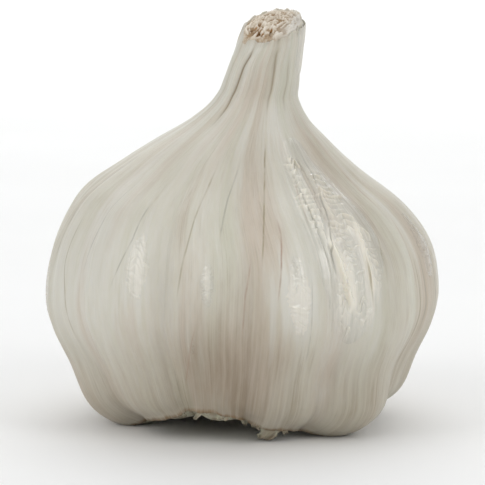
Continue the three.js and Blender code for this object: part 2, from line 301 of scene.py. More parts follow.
    def panel_at(self, angle: Array) -> Array:
        """Give the number of the rib whose panel of skin an angle lies on.

        Args:
            angle: in degrees.

        Returns:
            The number of each panel.
        """
        crests = self._crests
        hollows = (crests + np.append(crests[1:], crests[0] + 360)) / 2
        place = (np.asarray(angle, float) - hollows[0]) % 360 + hollows[0]
        return np.searchsorted(hollows, place, side="right") % self.ribs

    def cloves_under(self, angle: Array) -> tuple[Array, Array, Array, Array]:
        """Read the cloves under an angle.

        Args:
            angle: degrees round the bulb.

        Returns:
            The clove's half width, the skin's fullness from 0 in a valley to 1 on a crest, and the
            height of the foot and the belly, which blend into the next clove's at a valley.
        """
        table = np.array([(c.middle, c.half, c.foot, c.belly) for c in self.cloves])
        first = table[0, 0] - table[0, 1]
        place = first + (np.asarray(angle, float) - first) % 360
        ends = table[:, 0] + table[:, 1]
        index = np.minimum(np.searchsorted(ends, place), len(table) - 1)
        across = np.minimum(1, np.abs(place - table[index, 0]) / table[index, 1])
        soft = self.valley_softness
        arch = np.cos(across * np.pi / 2)
        fullness = (np.hypot(arch, soft) - soft) / (math.hypot(1, soft) - soft)
        beside = (index + np.where(place < table[index, 0], -1, 1)) % len(table)
        between = (table[index] + table[beside]) / 2
        blend = table[index] * fullness[..., None] + between * (1 - fullness[..., None])
        return table[index, 1], fullness, blend[..., 2], blend[..., 3]

    def pleat_at(self, angle: Array) -> Array:
        """Give the neck's pleats, 1 on a fold and -1 in a furrow.

        Args:
            angle: in degrees.

        Returns:
            The pleats' wave at each angle.
        """
        a = np.radians(angle)
        wave = np.cos(self.pleats * a + 1.3 * np.sin(2 * a))
        return np.abs(wave) ** 0.7 * np.sign(wave)

    def on_axis(self, angle: Array, radius: Array, height: Array) -> Array:
        """Place a radius and height on the upright bulb or its leaning neck.

        Args:
            angle: degrees round the bulb.
            radius: distance from the axis.
            height: height above the ground.

        Returns:
            Points, with x, y and z in the last dimension.
        """
        angle, radius, height = np.broadcast_arrays(angle, radius, height)
        lean = ease(*self.lean_heights, height)
        above = np.maximum(0, height - self.slope_height)
        sway = self.sway[0] * bell(*self.sway[1:], height)
        x = self.lean[0] * lean + self.slope[0] * above + self.axis_shift[0] - sway
        y = self.lean[1] * lean + self.slope[1] * above - self.axis_shift[1]
        a = np.radians(angle)
        return np.stack([x + radius * np.sin(a), -y - radius * np.cos(a), height], axis=-1)

    def cut_lift(self, angle: Array) -> Array:
        """Give how much higher than its mean the slanting cut across the neck is."""
        return self.cut_rise * np.cos(np.radians(angle - self.cut_high_angle))

    def skin(self, angle: Array, arc: Array) -> Array:
        """Give the skin's points without its finer relief.

        Args:
            angle: degrees round the bulb.
            arc: outline length from the root plate's seat.

        Returns:
            Points, with x, y and z in the last dimension.
        """
        angle, arc = np.broadcast_arrays(np.asarray(angle, float), np.asarray(arc, float))
        radius, height = self.radius_at(arc), self.height_at(arc)
        half, fullness, foot, belly = self.cloves_under(angle)
        ring = ease(*self.lobe_ring, radius)
        depth = self.lobe_depth + self.lobe_depth_low * ease(*self.lobe_low, height)
        lobe = depth * half / self.full_half_width * (fullness - 0.5)
        lobe = lobe * ease(*self.lobe_top, height) * ring
        belly = belly * bell(*self.belly, height) * ring
        leftward = np.maximum(0, -np.sin(np.radians(angle))) ** 2
        shoulder = self.shoulder[0] * leftward * bell(*self.shoulder[1:], height)
        neck = ease(*self.pleat_heights, height)
        pleat = self.pleat_share * self.pleat_depth * self.pleat_at(angle) * neck
        rib = self.rib_share * self.rib_height * self.rib_at(angle) / 2
        ribs = rib * radius * ring / self.widest_radius
        low = np.maximum(0, 1 - height / self.widest_height) ** 1.5
        lift = (foot + self.valley_rise * (1 - fullness)) * low * ring
        points = self.on_axis(
            angle, radius + lobe + belly + shoulder + pleat + ribs, np.maximum(0, height + lift)
        )
        slant = ease(self.neck_height - self.cut_blend, self.neck_height, height)
        points[..., 2] += slant * self.cut_lift(angle)
        return points

    def normals(self, angle: Array, arc: Array) -> Array:
        """Give the outward unit normals of the skin without its finer relief.

        Args:
            angle: in degrees.
            arc: in mm along the outline.

        Returns:
            Vectors, with x, y and z in the last dimension.
        """
        angle, arc = np.broadcast_arrays(np.asarray(angle, float), np.asarray(arc, float))
        turn, step = 0.4, 0.25
        low, high = np.maximum(arc - step, 0), np.minimum(arc + step, self.length)
        sideways = self.skin(angle + turn, arc) - self.skin(angle - turn, arc)
        upwards = self.skin(angle, high) - self.skin(angle, low)
        normal = np.cross(sideways, upwards)
        return normal / np.maximum(np.linalg.norm(normal, axis=-1, keepdims=True), 1e-9)


class VeinTone(Enum):
    """The tones of the skin's veins. The value is the channel of the marks that holds them."""

    OLIVE = 0
    ROSE = 1
    GREY = 2

    @property
    def label(self) -> str:
        """The name of the tone's socket."""
        return self.name.title()


class EdgeStyle(Enum):
    """How the top end of loose skin ends: grown into the skin below, or torn and lifted."""

    TUCKED = "tucked"
    TORN = "torn"


@dataclass(frozen=True)
class Vein:
    """A thin vein or crease: its angle and height from the top end down."""

    tone: VeinTone
    strength: float
    path: Path


@dataclass(frozen=True)
class Fold:
    """A raised fold of dry skin: its angle and height from the top end down."""

    height: float
    width: float
    path: Path


@dataclass(frozen=True)
class Crinkle:
    """A field of fine transverse creases, spaced along the arc."""

    angle: float
    half_angle: float
    low: float
    high: float
    spacing: float
    depth: float
    slant: float  # mm of arc per degree


@dataclass(frozen=True)
class Patch:
    """A soft patch on the skin: a rose, green and light tint, where the light paints highlights in
    places, and an amount of painted shade.
    """

    angle: float
    height: float
    half_angle: float
    half_height: float
    rose: float
    green: float
    light: float
    # painted shade: how far the patch darkens the skin
    painted_shade: float = 0.0

    def near(self, angle: Array, height: Array) -> Array:
        """Give how near a place is, 1 in the patch's middle."""
        across = bell(0, self.half_angle, turned(angle, self.angle))
        return across * bell(self.height, self.half_height, height)


def along_path(path: Path, height: Array) -> tuple[Array, Array]:
    """Follow a path that runs up or down the bulb.

    Args:
        path: angle and height from the top end down.
        height: heights to read it at.

    Returns:
        The path's angle at each height, and 1 between its ends, fading to 0 past them.
    """
    angles, heights = np.array(path, float)[::-1].T
    low, high = heights[0], heights[-1]
    fade = ease(low - 1.5, low + 3, height) * ease(high + 1.5, high - 3, height)
    return np.interp(height, heights, angles), fade


FRONT_VEINS = (
    Vein(VeinTone.OLIVE, 1.0, ((15.2, 47), (14.9, 45.8), (10.9, 38.9), (8.6, 34.5), (6.7, 30.3))),
    Vein(VeinTone.ROSE, 1.0, ((13.9, 36), (13.9, 34.2), (12.4, 30.9), (10.5, 24.7))),
    Vein(VeinTone.GREY, 0.7, ((0.4, 44), (-3.3, 39), (-5.5, 33))),
    Vein(VeinTone.OLIVE, 0.7, ((-11.3, 43.5), (-14, 36.9), (-16.8, 30.1), (-18, 25))),
    Vein(VeinTone.GREY, 0.7, ((-32.3, 38.5), (-33.8, 32.9), (-38.6, 26))),
    Vein(VeinTone.GREY, 0.9,
         ((38.3, 45), (38.2, 41.9), (34.4, 38.5), (32.9, 35.4), (29.2, 30.8), (29, 27))),
    Vein(VeinTone.ROSE, 0.6, ((27, 41.3), (25.6, 38.7), (24.8, 35))),
    Vein(VeinTone.OLIVE, 0.8, ((48, 33.5), (45.5, 30.2), (45.7, 27.3))),
    Vein(VeinTone.OLIVE, 0.9, ((39.2, 30), (39.2, 25.9), (39.7, 22.6))),
    Vein(VeinTone.OLIVE, 0.7,
         ((-62.9, 34.5), (-63.2, 27.9), (-61.5, 23.6), (-60.5, 18.8), (-60.1, 15.5))),
    Vein(VeinTone.ROSE, 0.5, ((-12.5, 20), (-15.3, 14), (-18.6, 8.5))),
    Vein(VeinTone.GREY, 0.5, ((20.5, 27), (20, 21), (19.5, 14))),
    Vein(VeinTone.GREY, 0.6, ((-48.5, 41), (-51, 34), (-53, 27))),
    Vein(VeinTone.ROSE, 0.6, ((3.5, 31), (1.5, 25), (0.5, 18))),
)
NECK_FURROWS = (
    Fold(-0.26, 0.34,
         ((-35, 63.5), (-35.8, 61.1), (-38.2, 57.9), (-39.9, 53.8), (-37, 51.2), (-36, 49.5))),
    Fold(-0.16, 0.3, ((13, 62.5), (13.8, 61.1), (16.5, 58), (17.2, 54), (16, 51.5))),
    Fold(-0.1, 0.3, ((41, 60), (43, 56), (40, 51))),
    Fold(-0.2, 0.4, ((120, 63), (124, 57), (122, 50))),
    Fold(-0.2, 0.4, ((196, 64), (192, 58), (190, 50))),
    Fold(-0.2, 0.4, ((264, 63), (262, 57), (266, 50))),
)
# Soft patches of the skin's own rose, green and light tints, with painted light among them: the
# large light values paint highlights on the lobes and the glossy folds and light up the left lobe,
# and the last column paints shade low in the middle, in the valleys between the lobes and on the
# shoulders.
FRONT_PATCHES = tuple(Patch(*row) for row in (
    (16.5, 23, 4, 5.5, -0.4, -0.4, 2.4), (12.4, 25, 0.8, 6, -0.6, 0, 2.2),
    (21, 26, 0.9, 5, -0.6, 0, 1.6), (-42, 28, 14, 13, -0.3, 0, 1.0),
    (35, 27, 7, 11, -0.5, -0.2, 0.7), (31.8, 26.2, 1.5, 3, -0.8, -0.2, 3.0),
    (30.4, 31, 1.2, 3, -0.8, -0.2, 1.4), (39.6, 29, 1.3, 5, -0.8, 0, 1.0),
    (-6, 15, 16, 10, 0.5, -0.1, 0, 0.42), (10, 17, 8, 7, 0.3, -0.1, 0, 0.15),
    (-8, 4.5, 24, 4.5, 0.1, 0.2, 0, 0.35), (-22, 27, 5, 8, 0, 0.1, 0, 0.28),
    (46, 29, 8, 11, 0, 0.2, 0, 0.25), (10.5, 26, 3, 4.5, -0.3, 0, 0.9),
    (-76, 25, 12, 14, 0.3, 0.3, -0.3, 0.25), (-31, 28.5, 3.5, 4.5, -0.4, 0, 0.6),
    (-9.2, 27.5, 1.0, 4, -0.5, 0, 1.0), (-14.5, 18, 1.0, 5, -0.4, 0, 1.3),
    (-11.5, 14, 0.8, 4, -0.4, 0, 1.0), (-13, 15, 9, 8, 0, 0.1, 0, 0.3),
    (3, 25, 6, 7, 0.3, 0, 0, 0.28), (41, 8, 9, 7, 0.2, 0, 0, 0.25),
    (80, 27, 10, 14, 0.4, -0.1, 0, 0.22), (9, 20, 0.9, 7, -0.5, 0, 1.5),
    (55, 42, 19, 8, 0.2, 0.3, -0.1, 0.5), (-45, 33, 24, 14, 0, 0.1, 0, 0.12),
    (-22, 37, 5, 9, -0.7, 0.4, 0.5), (3, 44, 20, 7, 0.1, 0.2, 0, 0.32),
    (-40, 43, 20, 6, 0, 0.3, 0, 0.25), (11, 34, 3.5, 8, 0.9, 0, -0.5),
    (4, 34, 4, 9, 0.5, -0.2, -0.5), (-4, 33, 4, 10, -0.6, 0.9, -0.3),
    (-16, 31, 4, 9, 0.3, -0.4, -0.2), (0, 14, 12, 9, 0.9, -0.3, -0.3),
    (-20, 17, 5, 8, 1.0, -0.4, -0.6), (-8, 19, 4, 7, -0.5, 0.6, 0.3), (-28, 21, 5, 7, 0.9, -0.3, 0),
    (-32, 33, 5, 7, -0.6, 0.6, 0.4), (30, 14, 5, 10, 0.6, -0.4, 0.2),
    (42, 18, 4, 9, -0.8, 0.8, 0.2), (60, 24, 5, 10, -0.3, 0.9, -0.2), (72, 26, 5, 10, 0.9, -0.4, 0),
    (55, 40, 8, 6, 0.5, 0.3, -0.4), (-68, 26, 10, 10, -0.6, 0.1, 0.9),
    (-6, 55, 22, 5, 0.8, -0.3, -0.5), (45, 56, 25, 6, -0.7, 0.9, 0),
    (28, 49.5, 20, 3, 0.3, 0.1, 0.9), (-62, 57, 24, 6, -0.3, 0.3, 0.2),
))


@dataclass
class SkinSurface:
    """The skin's fine relief and the marks that its material reads, on the bulb's form."""

    form: BulbForm
    dent: float = 0.22
    small_dent: float = 0.1
    soft_fold: float = 0.16
    fibre: float = 0.045
    groove: float = 0.05
    groove_width: float = 0.2
    grain_wander: float = 1.6
    edge_keys: Path = (  # angle and arc of the torn edge
        (-180, 11), (-150, 9), (-120, 13), (-90, 10.5), (-60, 11), (-40, 13.5), (-27, 15.5),
        (-19, 17.6), (-9.6, 18.4), (-3.7, 16.6), (3.8, 13.8), (12.8, 14.2), (26, 12.5), (34, 12),
        (47, 9.5), (70, 9), (95, 12.5), (120, 9.5), (150, 8.5), (165, 12), (180, 11),
    )
    veins: tuple[Vein, ...] = FRONT_VEINS
    furrows: tuple[Fold, ...] = NECK_FURROWS
    patches: tuple[Patch, ...] = FRONT_PATCHES
    panel_keys: int = 5
    panel_blur: float = 0.8
    # Towards the base the skin turns rosier and darker: the darkening is painted shade, which also
    # stands for the skin's browner tone there.
    low_tint_and_shade: Triple = (0.25, -0.1, -0.2)
    low_painted_shade: float = 0.5
    side_veins: int = 46
    vein_reach: tuple[float, float] = (1.6, 1.1)  # distances between which a vein's strength rises
    full_furrow: float = 0.22  # depth of a furrow that is marked in full
    quiet_share: float = 0.35  # of the relief where the bulb is narrow
    first_seed: int = 11
    panel_seed: int = 21

    def __post_init__(self) -> None:
        """Draw the noises, the panels' tints and the veins of the sides and the back."""
        lattices = ((9, 7), (24, 14), (96, 8), (190, 12), (12, 6), (150, 1), (420, 1), (46, 1))
        noises = (RoundNoise(seed, *cells) for seed, cells in enumerate(lattices, self.first_seed))
        self._dents, self._small_dents, self._folds, self._fibres, *others = noises
        self._wander, self._rag, self._fine_rag, self._rim = others
        draw = np.random.default_rng(self.panel_seed)
        self._panel_tints = draw.normal(0, 0.4, (self.form.ribs, self.panel_keys + 1, 3))
        self.veins = self.veins + tuple(self._side_vein(draw) for _ in range(self.side_veins))

    def _side_vein(self, draw: np.random.Generator) -> Vein:
        """Draw a vein on the sides or the back of the bulb.

        Args:
            draw: the seeded generator.

        Returns:
            The vein.
        """
        start, high = draw.uniform(58, 292), draw.uniform(26, 50)
        low = high - draw.uniform(6, 20)
        middle = (high + low) / 2
        tone = VeinTone(int(draw.integers(0, 3)))
        bend = draw.uniform(-1.5, 1.5)
        path = ((start, high), (start + bend, middle), (start + bend * 0.6, low))
        return Vein(tone, float(draw.uniform(0.35, 0.85)), path)

    def edge_arc(self, angle: Array) -> Array:
        """Give the arc of the outer skin's torn edge under the bulb."""
        mean = np.interp(turned(angle, 0), *np.array(self.edge_keys).T)
        return mean + (0.55 * self._rag.at(angle, 0.2) + 0.22 * self._fine_rag.at(angle, 0.2))

    def top_rag(self, angle: Array) -> Array:
        """Give how the frayed rim of the neck rises and falls."""
        return 0.25 * self._rim.at(angle, 0.8) + 0.08 * self._rag.at(angle, 0.8)

    def specks(self, angle: Array, share: float) -> Array:
        """Give where dirt sticks to the under-skin."""
        return self._rag.at(angle, share) * 0.6 + self._small_dents.at(angle * 3, share) * 0.7

    def vein_marks(self, angle: Array, arc: Array) -> tuple[Array, Array]:
        """Find the nearest vein of each tone.

        Args:
            angle: degrees round the bulb.
            arc: outline length from the root plate's seat.

        Returns:
            The signed distance across the nearest vein of each tone, and its strength there.
        """
        radius, height = self.form.radius_at(arc), self.form.height_at(arc)
        gap = np.full(angle.shape + (len(VeinTone),), PLAIN_ZONE)
        depth = np.zeros_like(gap)
        for vein in self.veins:
            middle, fade = along_path(vein.path, height)
            distance = turned(angle, middle) * DEGREE * radius
            channel = vein.tone.value
            closer = (np.abs(distance) < np.abs(gap[..., channel])) & (fade > 0)
            gap[..., channel] = np.where(closer, distance, gap[..., channel])
            near = ease(*self.vein_reach, np.abs(distance))
            depth[..., channel] = np.where(closer, fade * vein.strength * near, depth[..., channel])
        return gap, depth

    def furrow_mask(self, angle: Array, arc: Array) -> tuple[Array, Array]:
        """Give the neck furrows' depth in mm, and how far a place is down in one.

        Args:
            angle: in degrees.
            arc: in mm along the outline.

        Returns:
            The depth, and the mark from 0 to 1.
        """
        radius, height = self.form.radius_at(arc), self.form.height_at(arc)
        depth, mask = np.zeros(angle.shape), np.zeros(angle.shape)
        for furrow in self.furrows:
            middle, fade = along_path(furrow.path, height)
            distance = turned(angle, middle) * DEGREE * radius
            depth += furrow.height * (bell(0, furrow.width, distance) * fade)
            strength = min(1.0, -furrow.height / self.full_furrow)
            mask = np.maximum(mask, bell(0, furrow.width * 0.5, distance) * fade * strength)
        return depth, mask

    def relief(self, angle: Array, arc: Array) -> Array:
        """Give how far the skin stands out of its plain form, in mm.

        Args:
            angle: in degrees.
            arc: in mm along the outline.

        Returns:
            The height of the relief.
        """
        share = arc / self.form.length
        radius = self.form.radius_at(arc)
        width = np.minimum(1, radius / self.form.widest_radius * 1.4)
        loud = self.quiet_share + (1 - self.quiet_share) * width
        rise = self.dent * self._dents.at(angle, share)
        rise += self.small_dent * self._small_dents.at(angle, share)
        rise += self.soft_fold * self._folds.at(angle, share) * loud
        rise += self.fibre * self._fibres.at(angle, share)
        rise *= ease(2, 9, arc) * loud
        gap, depth = self.vein_marks(angle, arc)
        grooves = (depth * bell(0, self.groove_width, gap)).max(axis=-1)
        furrows, _ = self.furrow_mask(angle, arc)
        return rise - self.groove * grooves + furrows

    def points(self, angle: Array, arc: Array, offset: Array | float, ground: float = 0.0) -> Array:
        """Give the skin's points with its relief, an offset proud of it, never under the ground.

        Args:
            angle: in degrees.
            arc: in mm along the outline.
            offset: how far they stand off the skin.
            ground: their lowest height.

        Returns:
            Points, with x, y and z in the last dimension.
        """
        base, normal = self.form.skin(angle, arc), self.form.normals(angle, arc)
        points = base + normal * (self.relief(angle, arc) + offset)[..., None]
        points[..., 2] = np.maximum(points[..., 2], ground)
        return points

    def tint(self, angle: Array, arc: Array) -> Array:
        """Give the skin's tint: rose, green and light, from about -1 to 1 each; the light also
        carries painted highlights and painted shade.

        Args:
            angle: in degrees.
            arc: in mm along the outline.

        Returns:
            The three values of each place.
        """
        height = self.form.height_at(arc)
        place = np.clip(arc / self.form.length, 0, 0.999) * self.panel_keys
        key = np.floor(place).astype(int)
        share = ease(0, 1, place - key)[..., None]
        tint = np.zeros(angle.shape + (3,))
        for shift in (-self.panel_blur, 0, self.panel_blur):
            panel = self._panel_tints[self.form.panel_at(angle + shift)]
            low = np.take_along_axis(panel, key[..., None, None], axis=-2)[..., 0, :]
            high = np.take_along_axis(panel, key[..., None, None] + 1, axis=-2)[..., 0, :]
            tint += (low * (1 - share) + high * share) / 3
        # Rosier and darker towards the base: the darkening is painted shade.
        tint = tint + ease(24, 6, height)[..., None] * np.array(self.low_tint_and_shade)
        # The patches add tints, painted highlights and painted shade.
        for patch in self.patches:
            tone = np.array([patch.rose, patch.green, patch.light])
            tint = tint + patch.near(angle, height)[..., None] * tone
        return tint

    def painted_shade(self, angle: Array, arc: Array) -> Array:
        """Give the painted shade, from 0 to 1: darker towards the base, where it also stands for
        the skin's browner tone, and in the front's patches.

        Args:
            angle: in degrees.
            arc: in mm along the outline.

        Returns:
            The painted shade of each place.
        """
        height = self.form.height_at(arc)
        # Painted shade: darker towards the base and in the patches that ask for it.
        painted_shade = self.low_painted_shade * ease(26, 4, height)
        for patch in self.patches:
            painted_shade = painted_shade + patch.painted_shade * patch.near(angle, height)
        return np.clip(painted_shade, 0, 1)

    def layers(self, angle: Array, arc: Array, browning: Array | float = 0.0) -> Layers:
        """Give the attributes that the skin's material reads.

        Args:
            angle: degrees round the bulb.
            arc: outline length from the root plate's seat.
            browning: extra browning, from 0 to 1.

        Returns:
            Vectors for each attribute, by its name.
        """
        gap, depth = self.vein_marks(angle, arc)
        _, furrow = self.furrow_mask(angle, arc)
        share = arc / self.form.length
        a = np.radians(angle + self.grain_wander * self._wander.at(angle, share))
        above = arc - self.edge_arc(angle)
        browning = np.broadcast_to(browning, angle.shape)
        return {
            "grain": np.stack([np.sin(a), -np.cos(a), arc / 100], axis=-1),
            "vein_gap": gap,
            "vein_depth": depth,
            "zones": np.stack([above, furrow, browning], axis=-1),
            "tint": self.tint(angle, arc),
            "painted_shade": np.stack([self.painted_shade(angle, arc)] * 3, axis=-1),
        }


def grid_faces(rows: int, columns: int, closed: bool, start: int = 0) -> Array:
    """Number the quads of a grid of points, facing along columns times rows.

    Args:
        rows: rows of points.
        columns: points in a row.
        closed: whether the last column joins the first.
        start: number of the grid's first point.

    Returns:
        Four point numbers for each quad.
    """
    row = np.arange(rows - 1)[:, None]
    column = np.arange(columns if closed else columns - 1)[None, :]
    after = (column + 1) % columns
    corners = [row * columns + column, row * columns + after,
               (row + 1) * columns + after, (row + 1) * columns + column]
    return start + np.stack(np.broadcast_arrays(*corners), axis=-1).reshape(-1, 4)


def fan_faces(start: int, columns: int, pole: int) -> Array:
    """Number the triangles that close a ring of points at a pole, facing as a grid before it does.

    Args:
        start: number of the ring's first point.
        columns: points in the ring.
        pole: number of the pole's point.

    Returns:
        Three point numbers for each triangle.
    """
    column = np.arange(columns)
    after = (column + 1) % columns
    return np.stack([start + column, start + after, np.full_like(column, pole)], axis=-1)


def sheet_faces(rows: int, columns: int) -> Array:
    """Number the quads of a closed sheet: an outer grid of points, then an inner one, and its rim.

    Args:
        rows: rows of points in each grid.
        columns: points in a row.

    Returns:
        Four point numbers for each quad.
    """
    count = rows * columns
    outer = grid_faces(rows, columns, closed=False)
    numbers = np.arange(count).reshape(rows, columns)
    sides = numbers[0, :-1], numbers[:-1, -1], numbers[-1, :0:-1], numbers[:0:-1, 0]
    loop = np.concatenate(sides)
    after = np.roll(loop, -1)
    rim = np.stack([loop, loop + count, after + count, after], axis=-1)
    return np.concatenate([outer, outer[:, ::-1] + count, rim])


def new_piece(name: str, points: Array, faces: list, layers: Layers | None = None) -> Object:
    """Make a smooth mesh object at the origin.

    Args:
        name: the piece's name.
        points: points in mm.
        faces: point numbers for each face.
        layers: vectors for each point, by attribute name.

    Returns:
        The object, linked to the scene.
    """
    mesh = bpy.data.meshes.new(name)
    mesh.from_pydata((np.asarray(points) * MM).tolist(), [], faces)
    for layer_name, values in (layers or {}).items():
        layer = mesh.attributes.new(layer_name, "FLOAT_VECTOR", "POINT")
        layer.data.foreach_set("vector", np.asarray(values, np.float32).ravel())
    mesh.shade_smooth()
    piece = bpy.data.objects.new(name, mesh)
    bpy.context.scene.collection.objects.link(piece)
    return piece


def dress(piece: Object, material: Material) -> Object:
    """Give a piece its material and seat it on the bulb's body.

    Args:
        piece: the piece.
        material: its finish.

    Returns:
        The piece.
    """
    piece.data.materials.clear()
    piece.data.materials.append(material)
    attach(piece, BODY)
    LOG.info("%s: %d faces", piece.name, len(piece.data.polygons))
    return piece


class NodeBoard:
    """A node tree with short calls to add and join its nodes."""

    def __init__(self, tree: NodeTree) -> None:
        """Take a tree and empty it."""
        self.tree = tree
        tree.nodes.clear()

    def add(self, kind: str, sockets: dict[int | str, object] | None = None,
            **settings: object) -> Node:
        """Add a node.

        Args:
            kind: Blender's name of the node type.
            sockets: what each input takes, by index or name: another node's output or a value.
            settings: the node's own properties.

        Returns:
            The node.
        """
        node = self.tree.nodes.new(kind)
        for name, value in settings.items():
            setattr(node, name, value)
        self.fill(node, sockets or {})
        return node

    def fill(self, node: Node, values: dict[int | str, object]) -> None:
        """Link or set inputs of a node, by index or name.

        Args:
            node: the node.
            values: another node's output or a value for each input.
        """
        for key, value in values.items():
            socket = node.inputs[key]
            if isinstance(value, Socket):
                self.tree.links.new(value, socket)
            elif isinstance(value, tuple) and socket.type == "RGBA":
                socket.default_value = (*value, 1.0)
            else:
                socket.default_value = value

    def maths(self, operation: str, *values: object) -> Socket:
        """Add a Math node and give its result."""
        return self.add("ShaderNodeMath", dict(enumerate(values)), operation=operation).outputs[0]

    def spread(self, value: Socket, low: float, high: float, start: float = 0,
               end: float = 1) -> Socket:
        """Map a value smoothly from low..high to start..end, clamped."""
        sockets = dict(enumerate((value, low, high, start, end)))
        return self.add("ShaderNodeMapRange", sockets, interpolation_type="SMOOTHSTEP").outputs[0]

    def mix(self, factor: object, under: object, over: object, blend: str = "MIX") -> Socket:
        """Mix two colours.

        Args:
            factor: share of the upper colour.
            under: the lower colour.
            over: the upper colour.
            blend: Blender's name of the way to blend.

        Returns:
            The mixed colour.
        """
        node = self.add("ShaderNodeMix", data_type="RGBA", blend_type=blend)
        self.fill(node, {0: factor, 6: under, 7: over})
        return node.outputs[2]

    def glaze(self, colour: Socket, tone: object, mask: Socket, share: float) -> Socket:
        """Lay a tone over a colour where a mask says, at most by a share."""
        return self.mix(self.maths("MULTIPLY", mask, share), colour, tone)

    def noise(self, vector: Socket, scale: float, detail: float = 2,
              rough: float = 0.5) -> Socket:
        """Add a Noise Texture and give its value, about 0.5 in the mean."""
        sockets = {"Vector": vector, "Scale": scale, "Detail": detail, "Roughness": rough}
        return self.add("ShaderNodeTexNoise", sockets).outputs["Fac"]

    def streaks(self, vector: Socket, scales: Triple, detail: float = 2,
                rough: float = 0.5) -> Socket:
        """Add a noise with its own scale along each axis."""
        stretched = self.add("ShaderNodeVectorMath", {0: vector, 1: scales}, operation="MULTIPLY")
        return self.noise(stretched.outputs[0], 1.0, detail, rough)

    def attribute(self, name: str, output: str = "Vector") -> Socket:
        """Read one of the piece's attributes."""
        node = self.add("ShaderNodeAttribute", attribute_name=name, attribute_type="GEOMETRY")
        return node.outputs[output]

    def place(self) -> Socket:
        """Read Object coordinates."""
        return self.add("ShaderNodeTexCoord").outputs["Object"]

    def channels(self, vector: Socket) -> tuple[Socket, Socket, Socket]:
        """Split a vector into its three values."""
        node = self.add("ShaderNodeSeparateXYZ", {0: vector})
        return node.outputs[0], node.outputs[1], node.outputs[2]

    def vector(self, x: object = 0.0, y: object = 0.0, z: object = 0.0) -> Socket:
        """Join three values to a vector."""
        return self.add("ShaderNodeCombineXYZ", {0: x, 1: y, 2: z}).outputs[0]

    def bump(self, shader: Node, strength: float, height: Socket) -> None:
        """Feed a shader's normal from a Bump node."""
        node = self.add("ShaderNodeBump", {0: strength, 1: BUMP_REACH, 3: height})
        self.fill(shader, {"Normal": node.outputs[0]})

    def drawn(self, low: object, high: object, seed: Socket) -> Socket:
        """Draw a number between two limits for each point."""
        sockets = {2: low, 3: high, "Seed": seed}
        return self.add("FunctionNodeRandomValue", sockets, data_type="FLOAT").outputs[1]

    def dressed(self, copies: Node, material: Socket) -> Socket:
        """Make instances real and give them their material."""
        real = self.add("GeometryNodeRealizeInstances", {0: copies.outputs[0]})
        sockets = {0: real.outputs[0], "Material": material}
        return self.add("GeometryNodeSetMaterial", sockets).outputs[0]


def new_group(name: str, kind: str, inputs: dict[str, tuple[str, object]],
              outputs: dict[str, str]) -> tuple[NodeBoard, Node, Node]:
    """Start a node group with named sockets.

    Args:
        name: the group's name.
        kind: ShaderNodeTree or GeometryNodeTree.
        inputs: type and default of each input, by name; a default of None is left as it is.
        outputs: type of each output, by name.

    Returns:
        The board, the group's input node and its output node.
    """
    tree = bpy.data.node_groups.new(name, kind)
    for label, (socket_type, default) in inputs.items():
        socket = tree.interface.new_socket(label, in_out="INPUT", socket_type=socket_type)
        if default is not None:
            socket.default_value = default
    for label, socket_type in outputs.items():
        tree.interface.new_socket(label, in_out="OUTPUT", socket_type=socket_type)
    board = NodeBoard(tree)
    return board, board.add("NodeGroupInput"), board.add("NodeGroupOutput")


def new_rule(name: str, sizes: dict[str, tuple[str, object]]) -> tuple[NodeBoard, Node, Node]:
    """Start a Geometry Nodes group that takes a geometry, some sizes and a material."""
    inputs = {"Geometry": (GEOMETRY, None), **sizes, "Material": ("NodeSocketMaterial", None)}
    return new_group(name, "GeometryNodeTree", inputs, {"Geometry": GEOMETRY})


